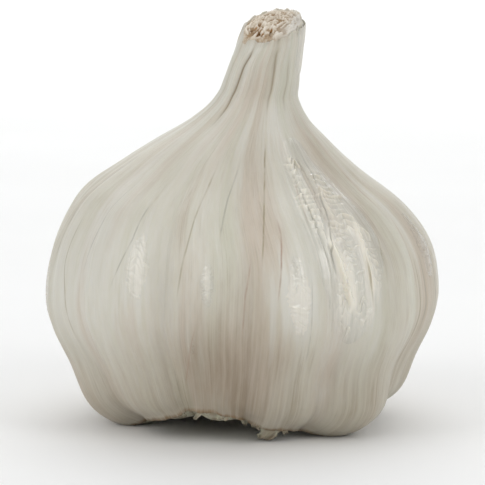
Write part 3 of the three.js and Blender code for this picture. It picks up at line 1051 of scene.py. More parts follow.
class SharedEffects:
    """The effects that more than one material uses, each a node group built once."""

    def __init__(self) -> None:
        """Build the groups."""
        self.streaks = self._streaks()
        self.veins = self._veins()
        self.dry = self._dry_fibre()

    def _streaks(self) -> NodeTree:
        """Build the papery streaks that follow the skin's grain.

        Returns:
            The group.
        """
        labels = ("Broad", "Fine", "Hair", "Blotch", "Height")
        board, given, made = new_group(
            "papery_streaks", "ShaderNodeTree", {"Grain": (VECTOR, None)},
            dict.fromkeys(labels, FLOAT),
        )
        grain = given.outputs["Grain"]
        broad = board.streaks(grain, (10, 10, 1.6), 3)
        fine = board.streaks(grain, (48, 48, 3), 3, 0.6)
        hair = board.streaks(grain, (170, 170, 6), 2, 0.6)
        pores = board.streaks(grain, (260, 260, 420))
        blotch = board.streaks(grain, (34, 34, 20), 4, 0.6)
        height = board.maths("MULTIPLY", fine, 1.4)
        for relief, share in ((hair, 0.5), (pores, 0.25), (blotch, 1.6)):
            height = board.maths("MULTIPLY_ADD", relief, share, height)
        board.fill(made, dict(zip(labels, (broad, fine, hair, blotch, height))))
        return board.tree

    def _veins(self) -> NodeTree:
        """Build the masks of the three tones of veins.

        Returns:
            The group.
        """
        board, given, made = new_group(
            "skin_veins", "ShaderNodeTree",
            {"Gap": (VECTOR, None), "Depth": (VECTOR, None),
             "Break": (FLOAT, 0.5), "Width": (FLOAT, 0.1)},
            {tone.label: FLOAT for tone in VeinTone},
        )
        gaps, depths = (board.channels(given.outputs[name]) for name in ("Gap", "Depth"))
        broken = board.spread(given.outputs["Break"], 0.3, 0.62, 0.25, 1)
        for tone, gap, depth in zip(VeinTone, gaps, depths):
            across = board.maths("DIVIDE", board.maths("ABSOLUTE", gap), given.outputs["Width"])
            mask = board.maths("MULTIPLY", board.spread(across, 0.5, 2.0, 1, 0), depth)
            board.fill(made, {tone.label: board.maths("MULTIPLY", mask, broken)})
        return board.tree

    def _dry_fibre(self) -> NodeTree:
        """Build the mottle and the relief of dry, fibrous cut stuff.

        Returns:
            The group.
        """
        labels = ("Mottle", "Speckle", "Height")
        board, given, made = new_group(
            "dry_fibre", "ShaderNodeTree", {"Vector": (VECTOR, None), "Scale": (FLOAT, 1.0)},
            dict.fromkeys(labels, FLOAT),
        )
        sockets = {0: given.outputs["Vector"], "Scale": given.outputs["Scale"]}
        scaled = board.add("ShaderNodeVectorMath", sockets, operation="SCALE").outputs[0]
        mottle = board.streaks(scaled, (1, 1, 0.6), 3, 0.6)
        speckle = board.streaks(scaled, (3.6, 3.6, 2), 3, 0.65)
        fibre = board.streaks(scaled, (7, 7, 0.9))
        height = board.maths("ADD", speckle, board.maths("MULTIPLY", fibre, 0.8))
        board.fill(made, dict(zip(labels, (mottle, speckle, height))))
        return board.tree


def new_material(name: str) -> tuple[Material, NodeBoard, Node]:
    """Start a material with a Principled BSDF on its output.

    Args:
        name: the material's name.

    Returns:
        The material, its board and its shader.
    """
    material = bpy.data.materials.new(name)
    material.use_nodes = True
    board = NodeBoard(material.node_tree)
    shader = board.add("ShaderNodeBsdfPrincipled")
    board.add("ShaderNodeOutputMaterial", {0: shader.outputs[0]})
    return material, board, shader


@dataclass(frozen=True)
class SkinFinish:
    """The dry, papery skin: ivory with rose and grey-green streaks, fine veins and torn edges."""

    name: str = "papery_skin"
    ivory: Colour = paint(209, 205, 192)
    rose: Colour = paint(201, 189, 174)
    green: Colour = paint(198, 197, 178)
    # The pale and shade tones also colour the painted highlights and the painted shade.
    pale: Colour = paint(218, 216, 207)
    shade: Colour = paint(178, 168, 149)
    # the colour that the painted shade multiplies in, darker and browner
    painted_shade: Colour = (0.6, 0.55, 0.49)  # multiplies the colour where it is full
    vein_tones: tuple[Colour, ...] = (
        paint(146, 134, 104), paint(162, 132, 114), paint(150, 146, 134)
    )
    furrow: Colour = paint(128, 106, 70)
    torn_edge: Colour = paint(132, 108, 78)
    under_skin: Colour = paint(190, 190, 168)
    mark_share: float = 0.75  # how far a vein, a furrow or dirt covers the skin's own colour
    roughness: tuple[float, float] = (0.34, 0.5)
    translucence: float = 0.15
    scatter: Triple = (1.0, 0.8, 0.55)  # how far each colour spreads in the skin, to the scale
    scatter_scale: float = 0.0012
    bump: float = 0.6
    coat: float = 0.0
    coat_roughness: float = 0.16

    def material(self, effects: SharedEffects) -> Material:
        """Build the material.

        Args:
            effects: the shared node groups.

        Returns:
            The material, which reads the skin's attributes.
        """
        material, board, shader = new_material(self.name)
        grain = board.attribute("grain")
        streaks = board.add("ShaderNodeGroup", {"Grain": grain}, node_tree=effects.streaks)
        fine, hair = streaks.outputs["Fine"], streaks.outputs["Hair"]
        colour = self._streaked(board, streaks)
        # Painted shade: multiply the colour darker and browner where the attribute of painted shade
        # says, unevenly along the streaks.
        uneven = board.spread(fine, 0.3, 0.7, 0.7, 1.3)
        painted_shade = board.maths("MULTIPLY", board.attribute("painted_shade", "Fac"), uneven)
        colour = board.mix(painted_shade, colour, self.painted_shade, "MULTIPLY")
        colour = self._marked(board, colour, grain, fine, effects)
        board.fill(shader, {
            "Base Color": colour,
            "Roughness": board.spread(hair, 0.3, 0.7, *self.roughness),
            "Coat Weight": self.coat,
            "Coat Roughness": self.coat_roughness,
            "Subsurface Weight": self.translucence,
            "Subsurface Radius": self.scatter,
            "Subsurface Scale": self.scatter_scale,
        })
        board.bump(shader, self.bump, streaks.outputs["Height"])
        return material

    def _streaked(self, board: NodeBoard, streaks: Node) -> Socket:
        """Mix the skin's streaks of ivory, rose and green, lighter and darker, with the tint's
        painted highlights and painted shade.

        Args:
            board: the material's board.
            streaks: the node of the streaks' group.

        Returns:
            The colour.
        """
        broad, fine, hair, blotch = list(streaks.outputs)[:4]
        rose, green, light = board.channels(board.attribute("tint"))
        rosy = board.spread(board.maths("ADD", rose, board.maths("MULTIPLY", broad, 2.0)), 0.5, 2.4)
        faded = board.maths("SUBTRACT", green, board.maths("MULTIPLY", fine, 2.0))
        light = board.maths("ADD", light, board.maths("MULTIPLY_ADD", blotch, 2.2, -1.1))
        # The light carries painted highlights and painted shade besides the skin's own tone:
        # lighter glazes pale over it, darker glazes shade.
        lighter = board.spread(board.maths("MULTIPLY_ADD", fine, 2.8, light), 1.0, 3.0)
        darker = board.spread(board.maths("MULTIPLY_ADD", hair, 2.2, light), 1.2, -0.7)
        colour = board.mix(rosy, self.ivory, self.rose)
        colour = board.glaze(colour, self.green, board.spread(faded, -1.6, 0.6), 0.7)
        colour = board.glaze(colour, self.pale, lighter, 0.8)
        return board.glaze(colour, self.shade, darker, 0.85)

    def _marked(self, board: NodeBoard, colour: Socket, grain: Socket, fine: Socket,
                effects: SharedEffects) -> Socket:
        """Draw the veins, the furrows, the under-skin, its torn edge and the browning over the
        colour.

        Args:
            board: the material's board.
            colour: the skin's own colour.
            grain: the grain's vector.
            fine: the fine streaks.
            effects: the shared node groups.

        Returns:
            The colour with its marks.
        """
        above, furrow, browning = board.channels(board.attribute("zones"))
        veins = board.add("ShaderNodeGroup", {
            "Gap": board.attribute("vein_gap"),
            "Depth": board.attribute("vein_depth"),
            "Break": board.streaks(grain, (6, 6, 30), 3),
        }, node_tree=effects.veins)
        for kind, tone in zip(VeinTone, self.vein_tones):
            colour = board.glaze(colour, tone, veins.outputs[kind.label], self.mark_share)
        colour = board.glaze(colour, self.furrow, furrow, self.mark_share)
        under = board.mix(board.spread(fine, 0.35, 0.7), self.under_skin, self.shade)
        colour = board.mix(board.spread(above, 0.05, -0.1), colour, under)
        near, inside = board.spread(above, 1.1, 0.2), board.spread(above, -0.2, 0.0)
        edge = board.maths("MULTIPLY", near, inside)
        edge = board.maths("MULTIPLY", edge, board.spread(fine, 0.3, 0.6, 0.35, 1))
        colour = board.mix(edge, colour, self.torn_edge)
        return board.glaze(colour, self.torn_edge, browning, self.mark_share)


@dataclass(frozen=True)
class DryFinish:
    """Dry, fibrous, matt stuff: the cut sheath ends, the root plate, the roots and the soil."""

    name: str
    light: Colour
    middle: Colour
    dark: Colour
    scale: float  # mottles to a metre
    roughness: float
    bump: float = 0.6

    def material(self, effects: SharedEffects) -> Material:
        """Build the material, which reads Object coordinates.

        Args:
            effects: the shared node groups.

        Returns:
            The material.
        """
        material, board, shader = new_material(self.name)
        sockets = {"Vector": board.place(), "Scale": self.scale}
        dry = board.add("ShaderNodeGroup", sockets, node_tree=effects.dry)
        colour = board.mix(board.spread(dry.outputs["Mottle"], 0.35, 0.65), self.light, self.middle)
        colour = board.mix(board.spread(dry.outputs["Speckle"], 0.55, 0.75), colour, self.dark)
        board.fill(shader, {"Base Color": colour, "Roughness": self.roughness})
        board.bump(shader, self.bump, dry.outputs["Height"])
        return material


@dataclass(frozen=True)
class CrownFinish:
    """The torn ends of the leaf sheaths: tan crumbs, painted paler on their crests and darker in
    the cracks, brown in the holes with painted shadow near black at their bottoms.
    """

    crumb: Colour = paint(213, 201, 183)
    # crest and crack: painted highlight on the raised crumbs and painted shade in the cracks
    crest: Colour = paint(229, 220, 206)
    crack: Colour = paint(158, 132, 100)
    pale: Colour = paint(214, 212, 205)
    wall: Colour = paint(176, 134, 86)
    # painted shadow at the bottoms of the deepest holes
    dark: Colour = paint(34, 24, 18)
    scale: float = 1500.0
    roughness: float = 0.8
    bump: float = 0.5

    def material(self, effects: SharedEffects) -> Material:
        """Build the material, which reads the crown's cut attribute.

        Args:
            effects: the shared node groups.

        Returns:
            The material.
        """
        material, board, shader = new_material("torn_sheath")
        deep, crest, pale = board.channels(board.attribute("cut"))
        sockets = {"Vector": board.place(), "Scale": self.scale}
        dry = board.add("ShaderNodeGroup", sockets, node_tree=effects.dry)
        # Painted light and shade: the raised relief paler, the cracks darker, mottled by the
        # speckle.
        relief_light_and_mottle = board.maths("MULTIPLY_ADD", dry.outputs["Speckle"], 0.5, crest)
        colour = board.mix(board.spread(relief_light_and_mottle, 0.35, 0.75), self.crack, self.crumb)
        colour = board.mix(board.spread(relief_light_and_mottle, 0.8, 1.15), colour, self.crest)
        colour = board.glaze(colour, self.pale, pale, 0.8)
        colour = board.mix(board.spread(deep, 0.1, 0.6), colour, self.wall)
        # Painted shadow: near black at the bottoms of the deepest holes.
        colour = board.mix(board.spread(deep, 0.75, 1.0), colour, self.dark)
        board.fill(shader, {"Base Color": colour, "Roughness": self.roughness})
        board.bump(shader, self.bump, dry.outputs["Height"])
        return material


@dataclass
class OuterSkin:
    """The whole skin: the under-skin at the base, the torn outer skin, the neck and its mouth."""

    surface: SkinSurface
    columns: int = 540
    base_rows: int = 24
    upper_rows: int = 132
    under_depth: float = 0.22
    under_clearance: float = 0.12  # above the ground
    skin_thickness: float = 0.13
    lip_lift: tuple[float, float] = (0.15, 0.6)
    lip_width: float = 0.9
    lip_end: float = 1.5  # from the torn edge
    # how much browner the neck's rim and mouth are
    mouth_browning: float = 0.25

    def build(self) -> Object:
        """Build the skin as one closed mesh, from the root plate's seat to the mouth's floor.

        Returns:
            The skin.
        """
        form = self.surface.form
        angle = np.arange(self.columns) * 360 / self.columns
        edge = self.surface.edge_arc(angle)
        rows = [*self._base_rows(angle, edge), *self._lip_rows(angle, edge),
                *self._upper_rows(angle, edge), *self._mouth_rows(angle)]
        poles = [form.on_axis(0, 0, form.height_at(0)), form.on_axis(0, 0, form.mouth_floor)]
        points = np.concatenate([*(row for row, _ in rows), poles])
        seat, floor = len(points) - 2, len(points) - 1
        last = (len(rows) - 1) * self.columns
        faces = grid_faces(len(rows), self.columns, closed=True).tolist()
        faces += fan_faces(0, self.columns, seat)[:, ::-1].tolist()
        faces += fan_faces(last, self.columns, floor).tolist()
        layers = {
            key: np.concatenate([*(marks[key] for _, marks in rows), np.zeros((2, 3))])
            for key in rows[0][1]
        }
        return new_piece("garlic_skin", points, faces, layers)

    def _row(self, angle: Array, arc: Array, offset: Array | float, ground: float = 0.0) -> Row:
        """Make one row of points and its marks.

        Args:
            angle: in degrees.
            arc: in mm along the outline.
            offset: how far the row stands off the skin.
            ground: its lowest height.

        Returns:
            The row's points and marks.
        """
        arc = np.broadcast_to(arc, angle.shape)
        offset = np.broadcast_to(offset, angle.shape)
        return self.surface.points(angle, arc, offset, ground), self.surface.layers(angle, arc)

    def _base_rows(self, angle: Array, edge: Array) -> list[Row]:
        """Make the under-skin, from the root plate's seat to below the torn edge.

        Args:
            angle: in degrees.
            edge: arc of the torn edge.

        Returns:
            The rows, each with its points and its marks.
        """
        rows = []
        for share in np.linspace(0, 1, self.base_rows):
            depth = self.under_depth * float(ease(0, 0.3, share))
            arc = share * (edge + self.lip_width)
            points, marks = self._row(angle, arc, -depth, self.under_clearance)
            marks["zones"][:, 0] = UNDER_ZONE
            # Specks of soil on the under-skin.
            marks["zones"][:, 2] = ease(0.25, 0.6, self.surface.specks(angle, share))
            rows.append((points, marks))
        return rows

    def _lip_rows(self, angle: Array, edge: Array) -> list[Row]:
        """Make the outer skin's torn, curled edge, from its inside to its outside.

        Args:
            angle: in degrees.
            edge: arc of the torn edge.

        Returns:
            The rows, each with its points and its marks.
        """
        clear = ease(0.05, 1.3, self.surface.form.skin(angle, edge)[..., 2])
        share = 0.5 + 0.6 * self.surface.specks(angle, 0.4)
        least, most = self.lip_lift
        lift = (least + (most - least) * np.clip(share, 0, 1)) * clear
        skin = self.skin_thickness * (0.3 + 0.7 * clear)
        rows = []
        for step, offset, zone, ground in (
            (0.35, 0.45 * lift - 0.05, -0.5, 0.09),
            (0.0, lift, 0.1, 0.06),
            (-0.02, lift + skin * 0.9, 0.15, 0.03),
            (0.3, 0.8 * lift + skin, 0.3, 0.0),
            (0.8, 0.35 * lift + skin, 0.8, 0.0),
        ):
            points, marks = self._row(angle, edge + step, offset, ground)
            marks["zones"][:, 0] = zone
            rows.append((points, marks))
        return rows

    def _upper_rows(self, angle: Array, edge: Array) -> list[Row]:
        """Make the outer skin from its torn edge to the cut across the neck.

        Args:
            angle: in degrees.
            edge: arc of the torn edge.

        Returns:
            The rows, each with its points and its marks.
        """
        rows = []
        start = edge + self.lip_end
        for share in np.linspace(0, 1, self.upper_rows):
            arc = start + (self.surface.form.length - start) * share
            offset = self.skin_thickness * (1 - float(ease(0.05, 0.35, share)))
            points, marks = self._row(angle, arc, offset)
            points[:, 2] += float(ease(0.97, 1, share)) * self.surface.top_rag(angle)
            # Browner along the very rim of the cut.
            marks["zones"][:, 2] = float(ease(0.985, 1, share)) * 0.2
            rows.append((points, marks))
        return rows

    def _mouth_rows(self, angle: Array) -> list[Row]:
        """Make the neck's thin rim and the wall of its mouth, down to the floor.

        Args:
            angle: in degrees.

        Returns:
            The rows, each with its points and its marks.
        """
        form = self.surface.form
        rise = form.cut_lift(angle) + self.surface.top_rag(angle)
        rows = []
        for radius, height, share in (
            (form.neck_radius - 0.2, form.neck_height + 0.2, 1),
            (form.neck_radius - 0.45, form.neck_height + 0.1, 1),
            (form.mouth_radius, form.neck_height - 0.9, 1),
            (form.mouth_radius - 0.1, form.mouth_floor, 0),
        ):
            points = form.on_axis(angle, radius, height)
            points[..., 2] += share * rise
            top = np.full_like(angle, form.length)
            rows.append((points, self.surface.layers(angle, top, browning=self.mouth_browning)))
        return rows


@dataclass(frozen=True)
class LooseSkin:
    """A patch of loose outer skin, a thin closed sheet that lies on the skin.

    Its edges sink into the skin below, except for a top end that is torn and stands off.
    """

    name: str
    left: Path
    right: Path
    low: float
    high: float
    seed: int
    rows: int = 200
    columns: int = 90
    seat: float = 0.08
    tuck: float = 0.04
    blend: float = 2.6
    thickness: float = 0.08
    light: float = -0.1
    # Painted highlight on the crests of the creases and folds, and painted shade where a fold
    # sinks, to a mm.
    crest_highlight: float = 2.6  # to a mm of crease or fold
    wander: float = 0.4  # of the side edges, in degrees
    top_end: EdgeStyle = EdgeStyle.TUCKED
    torn_lift: float = 0.1
    torn_width: float = 1.6
    torn_rag: float = 0.2
    crinkles: tuple[Crinkle, ...] = ()
    folds: tuple[Fold, ...] = ()

    def build(self, surface: SkinSurface) -> Object:
        """Build the patch.

        Args:
            surface: the skin that it lies on.

        Returns:
            The patch, a closed sheet.
        """
        form = surface.form
        u, v = np.meshgrid(np.linspace(0, 1, self.columns), np.linspace(0, 1, self.rows))
        noise = RoundNoise(self.seed, 60, 40)
        low, high = form.arc_at(self.low), form.arc_at(self.high)
        arc = low + (high - low) * v
        if self.top_end is EdgeStyle.TORN:
            arc = arc + self.torn_rag * noise.at(u * 140, 0.2) * ease(0.8, 1, v)
        height = form.height_at(arc)
        wander = self.wander * noise.at(v * 330, 0.9)
        left, right = (along_path(path, height)[0] + wander for path in (self.left, self.right))
        angle = left + (right - left) * u
        width = (right - left) * DEGREE * form.radius_at(arc)
        gaps = [u * width, (1 - u) * width, v * (high - low), (1 - v) * (high - low)]
        nearest = np.minimum.reduce(gaps)
        flat = self._offset(gaps)
        crease = self._crinkled(angle, arc, height, form, noise)
        crease = crease * ease(0, self.blend * 0.8, nearest)
        outer = surface.points(angle, arc, flat + crease + self.thickness)
        inner = surface.points(angle, arc, np.minimum(flat + crease, flat))
        points = np.concatenate([outer.reshape(-1, 3), inner.reshape(-1, 3)])
        marks = surface.layers(angle, arc)
        marks["zones"][..., 0] = PLAIN_ZONE
        # Painted highlight on the crests of the creases and folds, and painted shade where a fold
        # sinks.
        light = self.light * ease(0, self.blend, nearest) + self.crest_highlight * crease
        marks["tint"][..., 2] += light
        layers = {key: np.tile(value.reshape(-1, 3), (2, 1)) for key, value in marks.items()}
        return new_piece(self.name, points, sheet_faces(self.rows, self.columns).tolist(), layers)

    def _offset(self, gaps: list[Array]) -> Array:
        """Give how far the sheet stands off the skin, from the distance to each edge, the top last.

        Args:
            gaps: distance to each edge, the top's last.

        Returns:
            The offset in mm.
        """
        torn = self.top_end is EdgeStyle.TORN
        sunk = self.seat + self.tuck + self.thickness
        offset = np.full(gaps[0].shape, self.seat)
        for gap in gaps[:-1] if torn else gaps:
            offset = offset - sunk * ease(self.blend, 0, gap)
        if torn:
            offset = offset + self.torn_lift * ease(self.torn_width, 0, gaps[-1]) ** 1.5
        return np.maximum(offset, -self.tuck - self.thickness)

    def _crinkled(self, angle: Array, arc: Array, height: Array, form: BulbForm,
                  noise: RoundNoise) -> Array:
        """Give the sheet's own creases and folds, in mm.

        Args:
            angle: in degrees.
            arc: in mm along the outline.
            height: in mm.
            form: the bulb's form.
            noise: the sheet's noise.

        Returns:
            The height of the relief.
        """
        rise = np.zeros_like(angle)
        for crinkle in self.crinkles:
            across = (angle - crinkle.angle) / crinkle.half_angle
            inside = ease(crinkle.low - 0.8, crinkle.low + 0.8, height)
            inside = inside * ease(crinkle.high + 0.8, crinkle.high - 0.8, height)
            wobble = 0.85 * noise.at(across * 12, arc / form.length * 0.7) + 0.25 * across**2
            phase = (arc + crinkle.slant * (angle - crinkle.angle)) / crinkle.spacing + wobble
            rung = np.floor(phase) * 47
            size = 0.2 + 0.8 * np.abs(noise.at(rung + across * 9, 0.35))
            shift = 0.4 * noise.at(rung, 0.75)
            reach = 0.75 + 0.4 * noise.at(rung, 0.55)
            inside = inside * ease(reach + 0.3, reach - 0.2, np.abs(across - shift))
            crest = (phase % 1) ** 1.6 * ease(1.0, 0.8, phase % 1) * 1.3
            rise += crinkle.depth * inside * size * crest
        for fold in self.folds:
            middle, fade = along_path(fold.path, height)
            across = turned(angle, middle) * DEGREE * form.radius_at(arc) / fold.width
            bend = np.where(across < 0, bell(0, 0.45, across), bell(0, 1, across))
            rise += fold.height * fade * bend
        return rise


@dataclass
class NeckLayers:
    """The dry leaf sheaths in the neck's mouth, cut across: thin wavy rings, torn along the top."""

    form: BulbForm
    radii: tuple[float, ...] = (3.86, 3.38, 2.94, 2.48, 2.04, 1.6, 1.14, 0.68)
    wall: float = 0.3
    slope: float = 0.1  # how far a strip leans inwards from its foot to its top
    dome: float = 0.6
    wave: float = 0.13
    rag: float = 0.4
    least_radius: float = 0.12
    levels: int = 6
    seed: int = 33

    def build(self) -> Object:
        """Build all the rings as one mesh of closed strips.

        Returns:
            The rings.
        """
        draw = np.random.default_rng(self.seed)
        points, faces = [], []
        count = 0
        for number, radius in enumerate(self.radii):
            arcs = 1 + int(draw.integers(1, 3)) if radius > 1 else 1
            start = draw.uniform(0, 360)
            for index in range(arcs):
                sweep = 360 / arcs - draw.uniform(3, 12) / max(radius, 1) * 2
                strip = self._strip(draw, radius, start + index * 360 / arcs, sweep, number)
                rings, around = strip.shape[:2]
                points.append(strip.reshape(-1, 3))
                faces += grid_faces(rings, around, closed=True, start=count).tolist()
                faces.append(list(range(count, count + around))[::-1])
                count += rings * around
                faces.append(list(range(count - around, count)))
        return new_piece("neck_layers", np.concatenate(points), faces)

    def _strip(self, draw: np.random.Generator, radius: float, start: float, sweep: float,
               number: int) -> Array:
        """Make one strip of sheath, as rings round its section from one end to the other.

        Args:
            draw: the seeded generator.
            radius: the ring's radius.
            start: angle of its first end.
            sweep: degrees to its last end.
            number: the ring's number.

        Returns:
            Points, by section ring and by step.
        """
        steps = max(10, int(sweep * radius / 9))
        angle = start + np.linspace(0, sweep, steps)
        ripple = self.wave * np.sin((5 + number % 3) * angle * DEGREE + radius * 9)
        face = radius + (ripple + draw.normal(0, 0.03, steps))
        torn = draw.normal(0, self.rag / 2, steps) + 0.3 * np.sin(angle * DEGREE * 9 + number)
        torn -= 0.9 * self._hollow(angle, radius)
        ends = np.minimum(1, np.minimum(np.arange(steps), np.arange(steps)[::-1]) / 2)
        lift = self.form.cut_lift(angle) * radius / self.form.neck_radius
        top = self.form.neck_height - 0.1 + lift
        top = top + self.dome * (1 - (radius / 4.2) ** 2) + torn * 0.6 - (1 - ends) * 0.8
        floor = self.form.mouth_floor + 0.1
        wall = self.wall * (0.8 + 0.4 * draw.random(steps))
        levels = np.linspace(0, 1, self.levels)
        outer = [(face - self.slope * level, floor + (top - floor) * level) for level in levels]
        inner = [(out - wall, up) for out, up in outer[::-1]]
        section = [*outer, (face - self.slope - wall * 0.5, top + 0.1), *inner]
        rings = [self.form.on_axis(angle, np.maximum(out, self.least_radius), up)
                 for out, up in section]
        return np.stack(rings[::-1], axis=1)

    def _hollow(self, angle: Array, radius: float) -> Array:
        """Give how deep a place lies in the torn hollow at the front left."""
        return bell(0, 26, turned(angle, -50)) * float(bell(3.2, 1.2, radius))


@dataclass(frozen=True)
class Hole:
    """A hole in the torn top of the neck."""

    angle: float
    radius: float
    across: float
    along: float
    depth: float


@dataclass
class CutCrown:
    """The torn, crumbly top of the neck: a low dome of ragged leaf ends with holes between them."""

    form: BulbForm
    rings: int = 84
    columns: int = 300
    radius: float = 4.75
    dome: float = 1.15
    rim_drop: float = 0.9
    ridge: float = 0.3
    ridge_spacing: float = 0.62
    furrow_angle: float = -36
    furrow_depth: float = 0.4
    crumb: float = 0.26
    fine_crumb: float = 0.11
    holes: tuple[Hole, ...] = tuple(Hole(*row) for row in (
        (-64, 3.3, 0.3, 0.6, 1.3), (-49, 3.1, 0.27, 0.75, 1.6), (-35, 3.3, 0.25, 0.7, 1.5),
        (-22, 3.7, 0.2, 0.4, 1.0), (-2, 3.2, 0.2, 0.6, 2.0), (20, 3.6, 0.25, 0.3, 0.8),
        (-70, 2.2, 0.4, 0.3, 0.9), (30, 1.6, 0.25, 0.35, 0.8), (130, 2.0, 0.3, 0.5, 0.9),
        (210, 2.6, 0.3, 0.4, 0.9), (265, 1.3, 0.25, 0.3, 0.8),
    ))
    seed: int = 34

    def build(self) -> Object:
        """Build the crown as a closed mesh.

        Returns:
            The crown.
        """
        form = self.form
        share = np.linspace(0, 1, self.rings)[:, None]
        angle = (np.arange(self.columns) * 360 / self.columns)[None, :]
        angle, share = np.broadcast_arrays(angle, share)
        furrow = self.furrow_depth * bell(self.furrow_angle, 7, turned(angle, 0)) * share**4
        radius = self.radius * share - furrow
        ridges, crumbs, holes = self._relief(angle, share, radius)
        height = form.neck_height + 0.05 + form.cut_lift(angle) * share * 0.9
        height = height + self.dome * (1 - share**2) + ridges + crumbs - holes
        height = height - self.rim_drop * ease(0.93, 1, share)
        top = form.on_axis(angle, np.maximum(radius, 0.01), height)
        floor = form.on_axis(angle[0], self.radius - 0.3, form.mouth_floor + 0.4)
        points = np.concatenate([[floor], top[::-1]]).reshape(-1, 3)
        last = self.rings * self.columns
        faces = grid_faces(self.rings + 1, self.columns, closed=True).tolist()
        faces.append(list(range(last, last + self.columns)))
        faces.append(list(range(self.columns))[::-1])
        # How deep in a hole: brown down its walls, then painted shadow near black.
        deep = np.clip(holes / 0.9, 0, 1)
        # How high the relief stands: painted paler on the crests and darker in the cracks.
        crest = np.clip(0.3 + (ridges + crumbs) * 2.1, 0, 1)
        pale = bell(0, 55, turned(angle, 75)) * ease(0.35, 0.8, share)
        marks = np.stack([deep, crest, pale], axis=-1)[::-1].reshape(-1, 3)
        marks = np.concatenate([np.tile([0.5, 0.2, 0.0], (self.columns, 1)), marks])
        return new_piece("cut_crown", points, faces, {"cut": marks})

    def _relief(self, angle: Array, share: Array, radius: Array) -> tuple[Array, Array, Array]:
        """Give the ridges of the leaf ends, the crumbs on them and the holes, in mm.

        Args:
            angle: in degrees.
            share: place from 0 in the middle to 1 at the rim.
            radius: radius in mm.

        Returns:
            The ridges, the crumbs and the holes' depth.
        """
        wander, broken, coarse, fine = (
            RoundNoise(self.seed + number, around, along).at(angle, share)
            for number, (around, along) in enumerate(((7, 3), (22, 6), (36, 10), (84, 24)))
        )
        phase = radius / self.ridge_spacing + 0.9 * wander
        ridges = self.ridge * ease(-0.5, 0.5, broken) * (0.5 + 0.5 * np.cos(2 * np.pi * phase))
        crumbs = self.crumb * coarse + self.fine_crumb * fine
        crumbs = crumbs * (0.4 + 0.6 * ease(0.05, 0.4, share)) * ease(1.02, 0.85, share)
        holes = np.zeros(angle.shape)
        for hole in self.holes:
            turn = angle * DEGREE - hole.angle * DEGREE
            side, out = radius * np.sin(turn), radius * np.cos(turn) - hole.radius
            inside = ease(1.25, 0.7, np.hypot(side / hole.across, out / hole.along))
            holes = np.maximum(holes, hole.depth * inside)
        return ridges, crumbs, holes


def settle(piece: Object, tree: NodeTree, values: dict[str, object]) -> Object:
    """Run a Geometry Nodes tree on a piece and keep the result as its plain mesh.

    Args:
        piece: the piece, whose mesh is the tree's input.
        tree: the tree.
        values: the modifier's inputs, by name.

    Returns:
        The piece, with no modifier left.
    """
    modifier = piece.modifiers.new("make", "NODES")
    modifier.node_group = tree
    for item in tree.interface.items_tree:
        if item.item_type == "SOCKET" and item.in_out == "INPUT" and item.name in values:
            modifier[item.identifier] = values[item.name]
    evaluated = piece.evaluated_get(bpy.context.evaluated_depsgraph_get())
    mesh = bpy.data.meshes.new_from_object(evaluated)
    piece.modifiers.clear()
    piece.data = mesh
    mesh.name = piece.name
    return piece


class Grain(Enum):
    """The shapes that can be scattered."""

    FIBRE = "a tapered fibre"
    CRUMB = "a rough crumb"


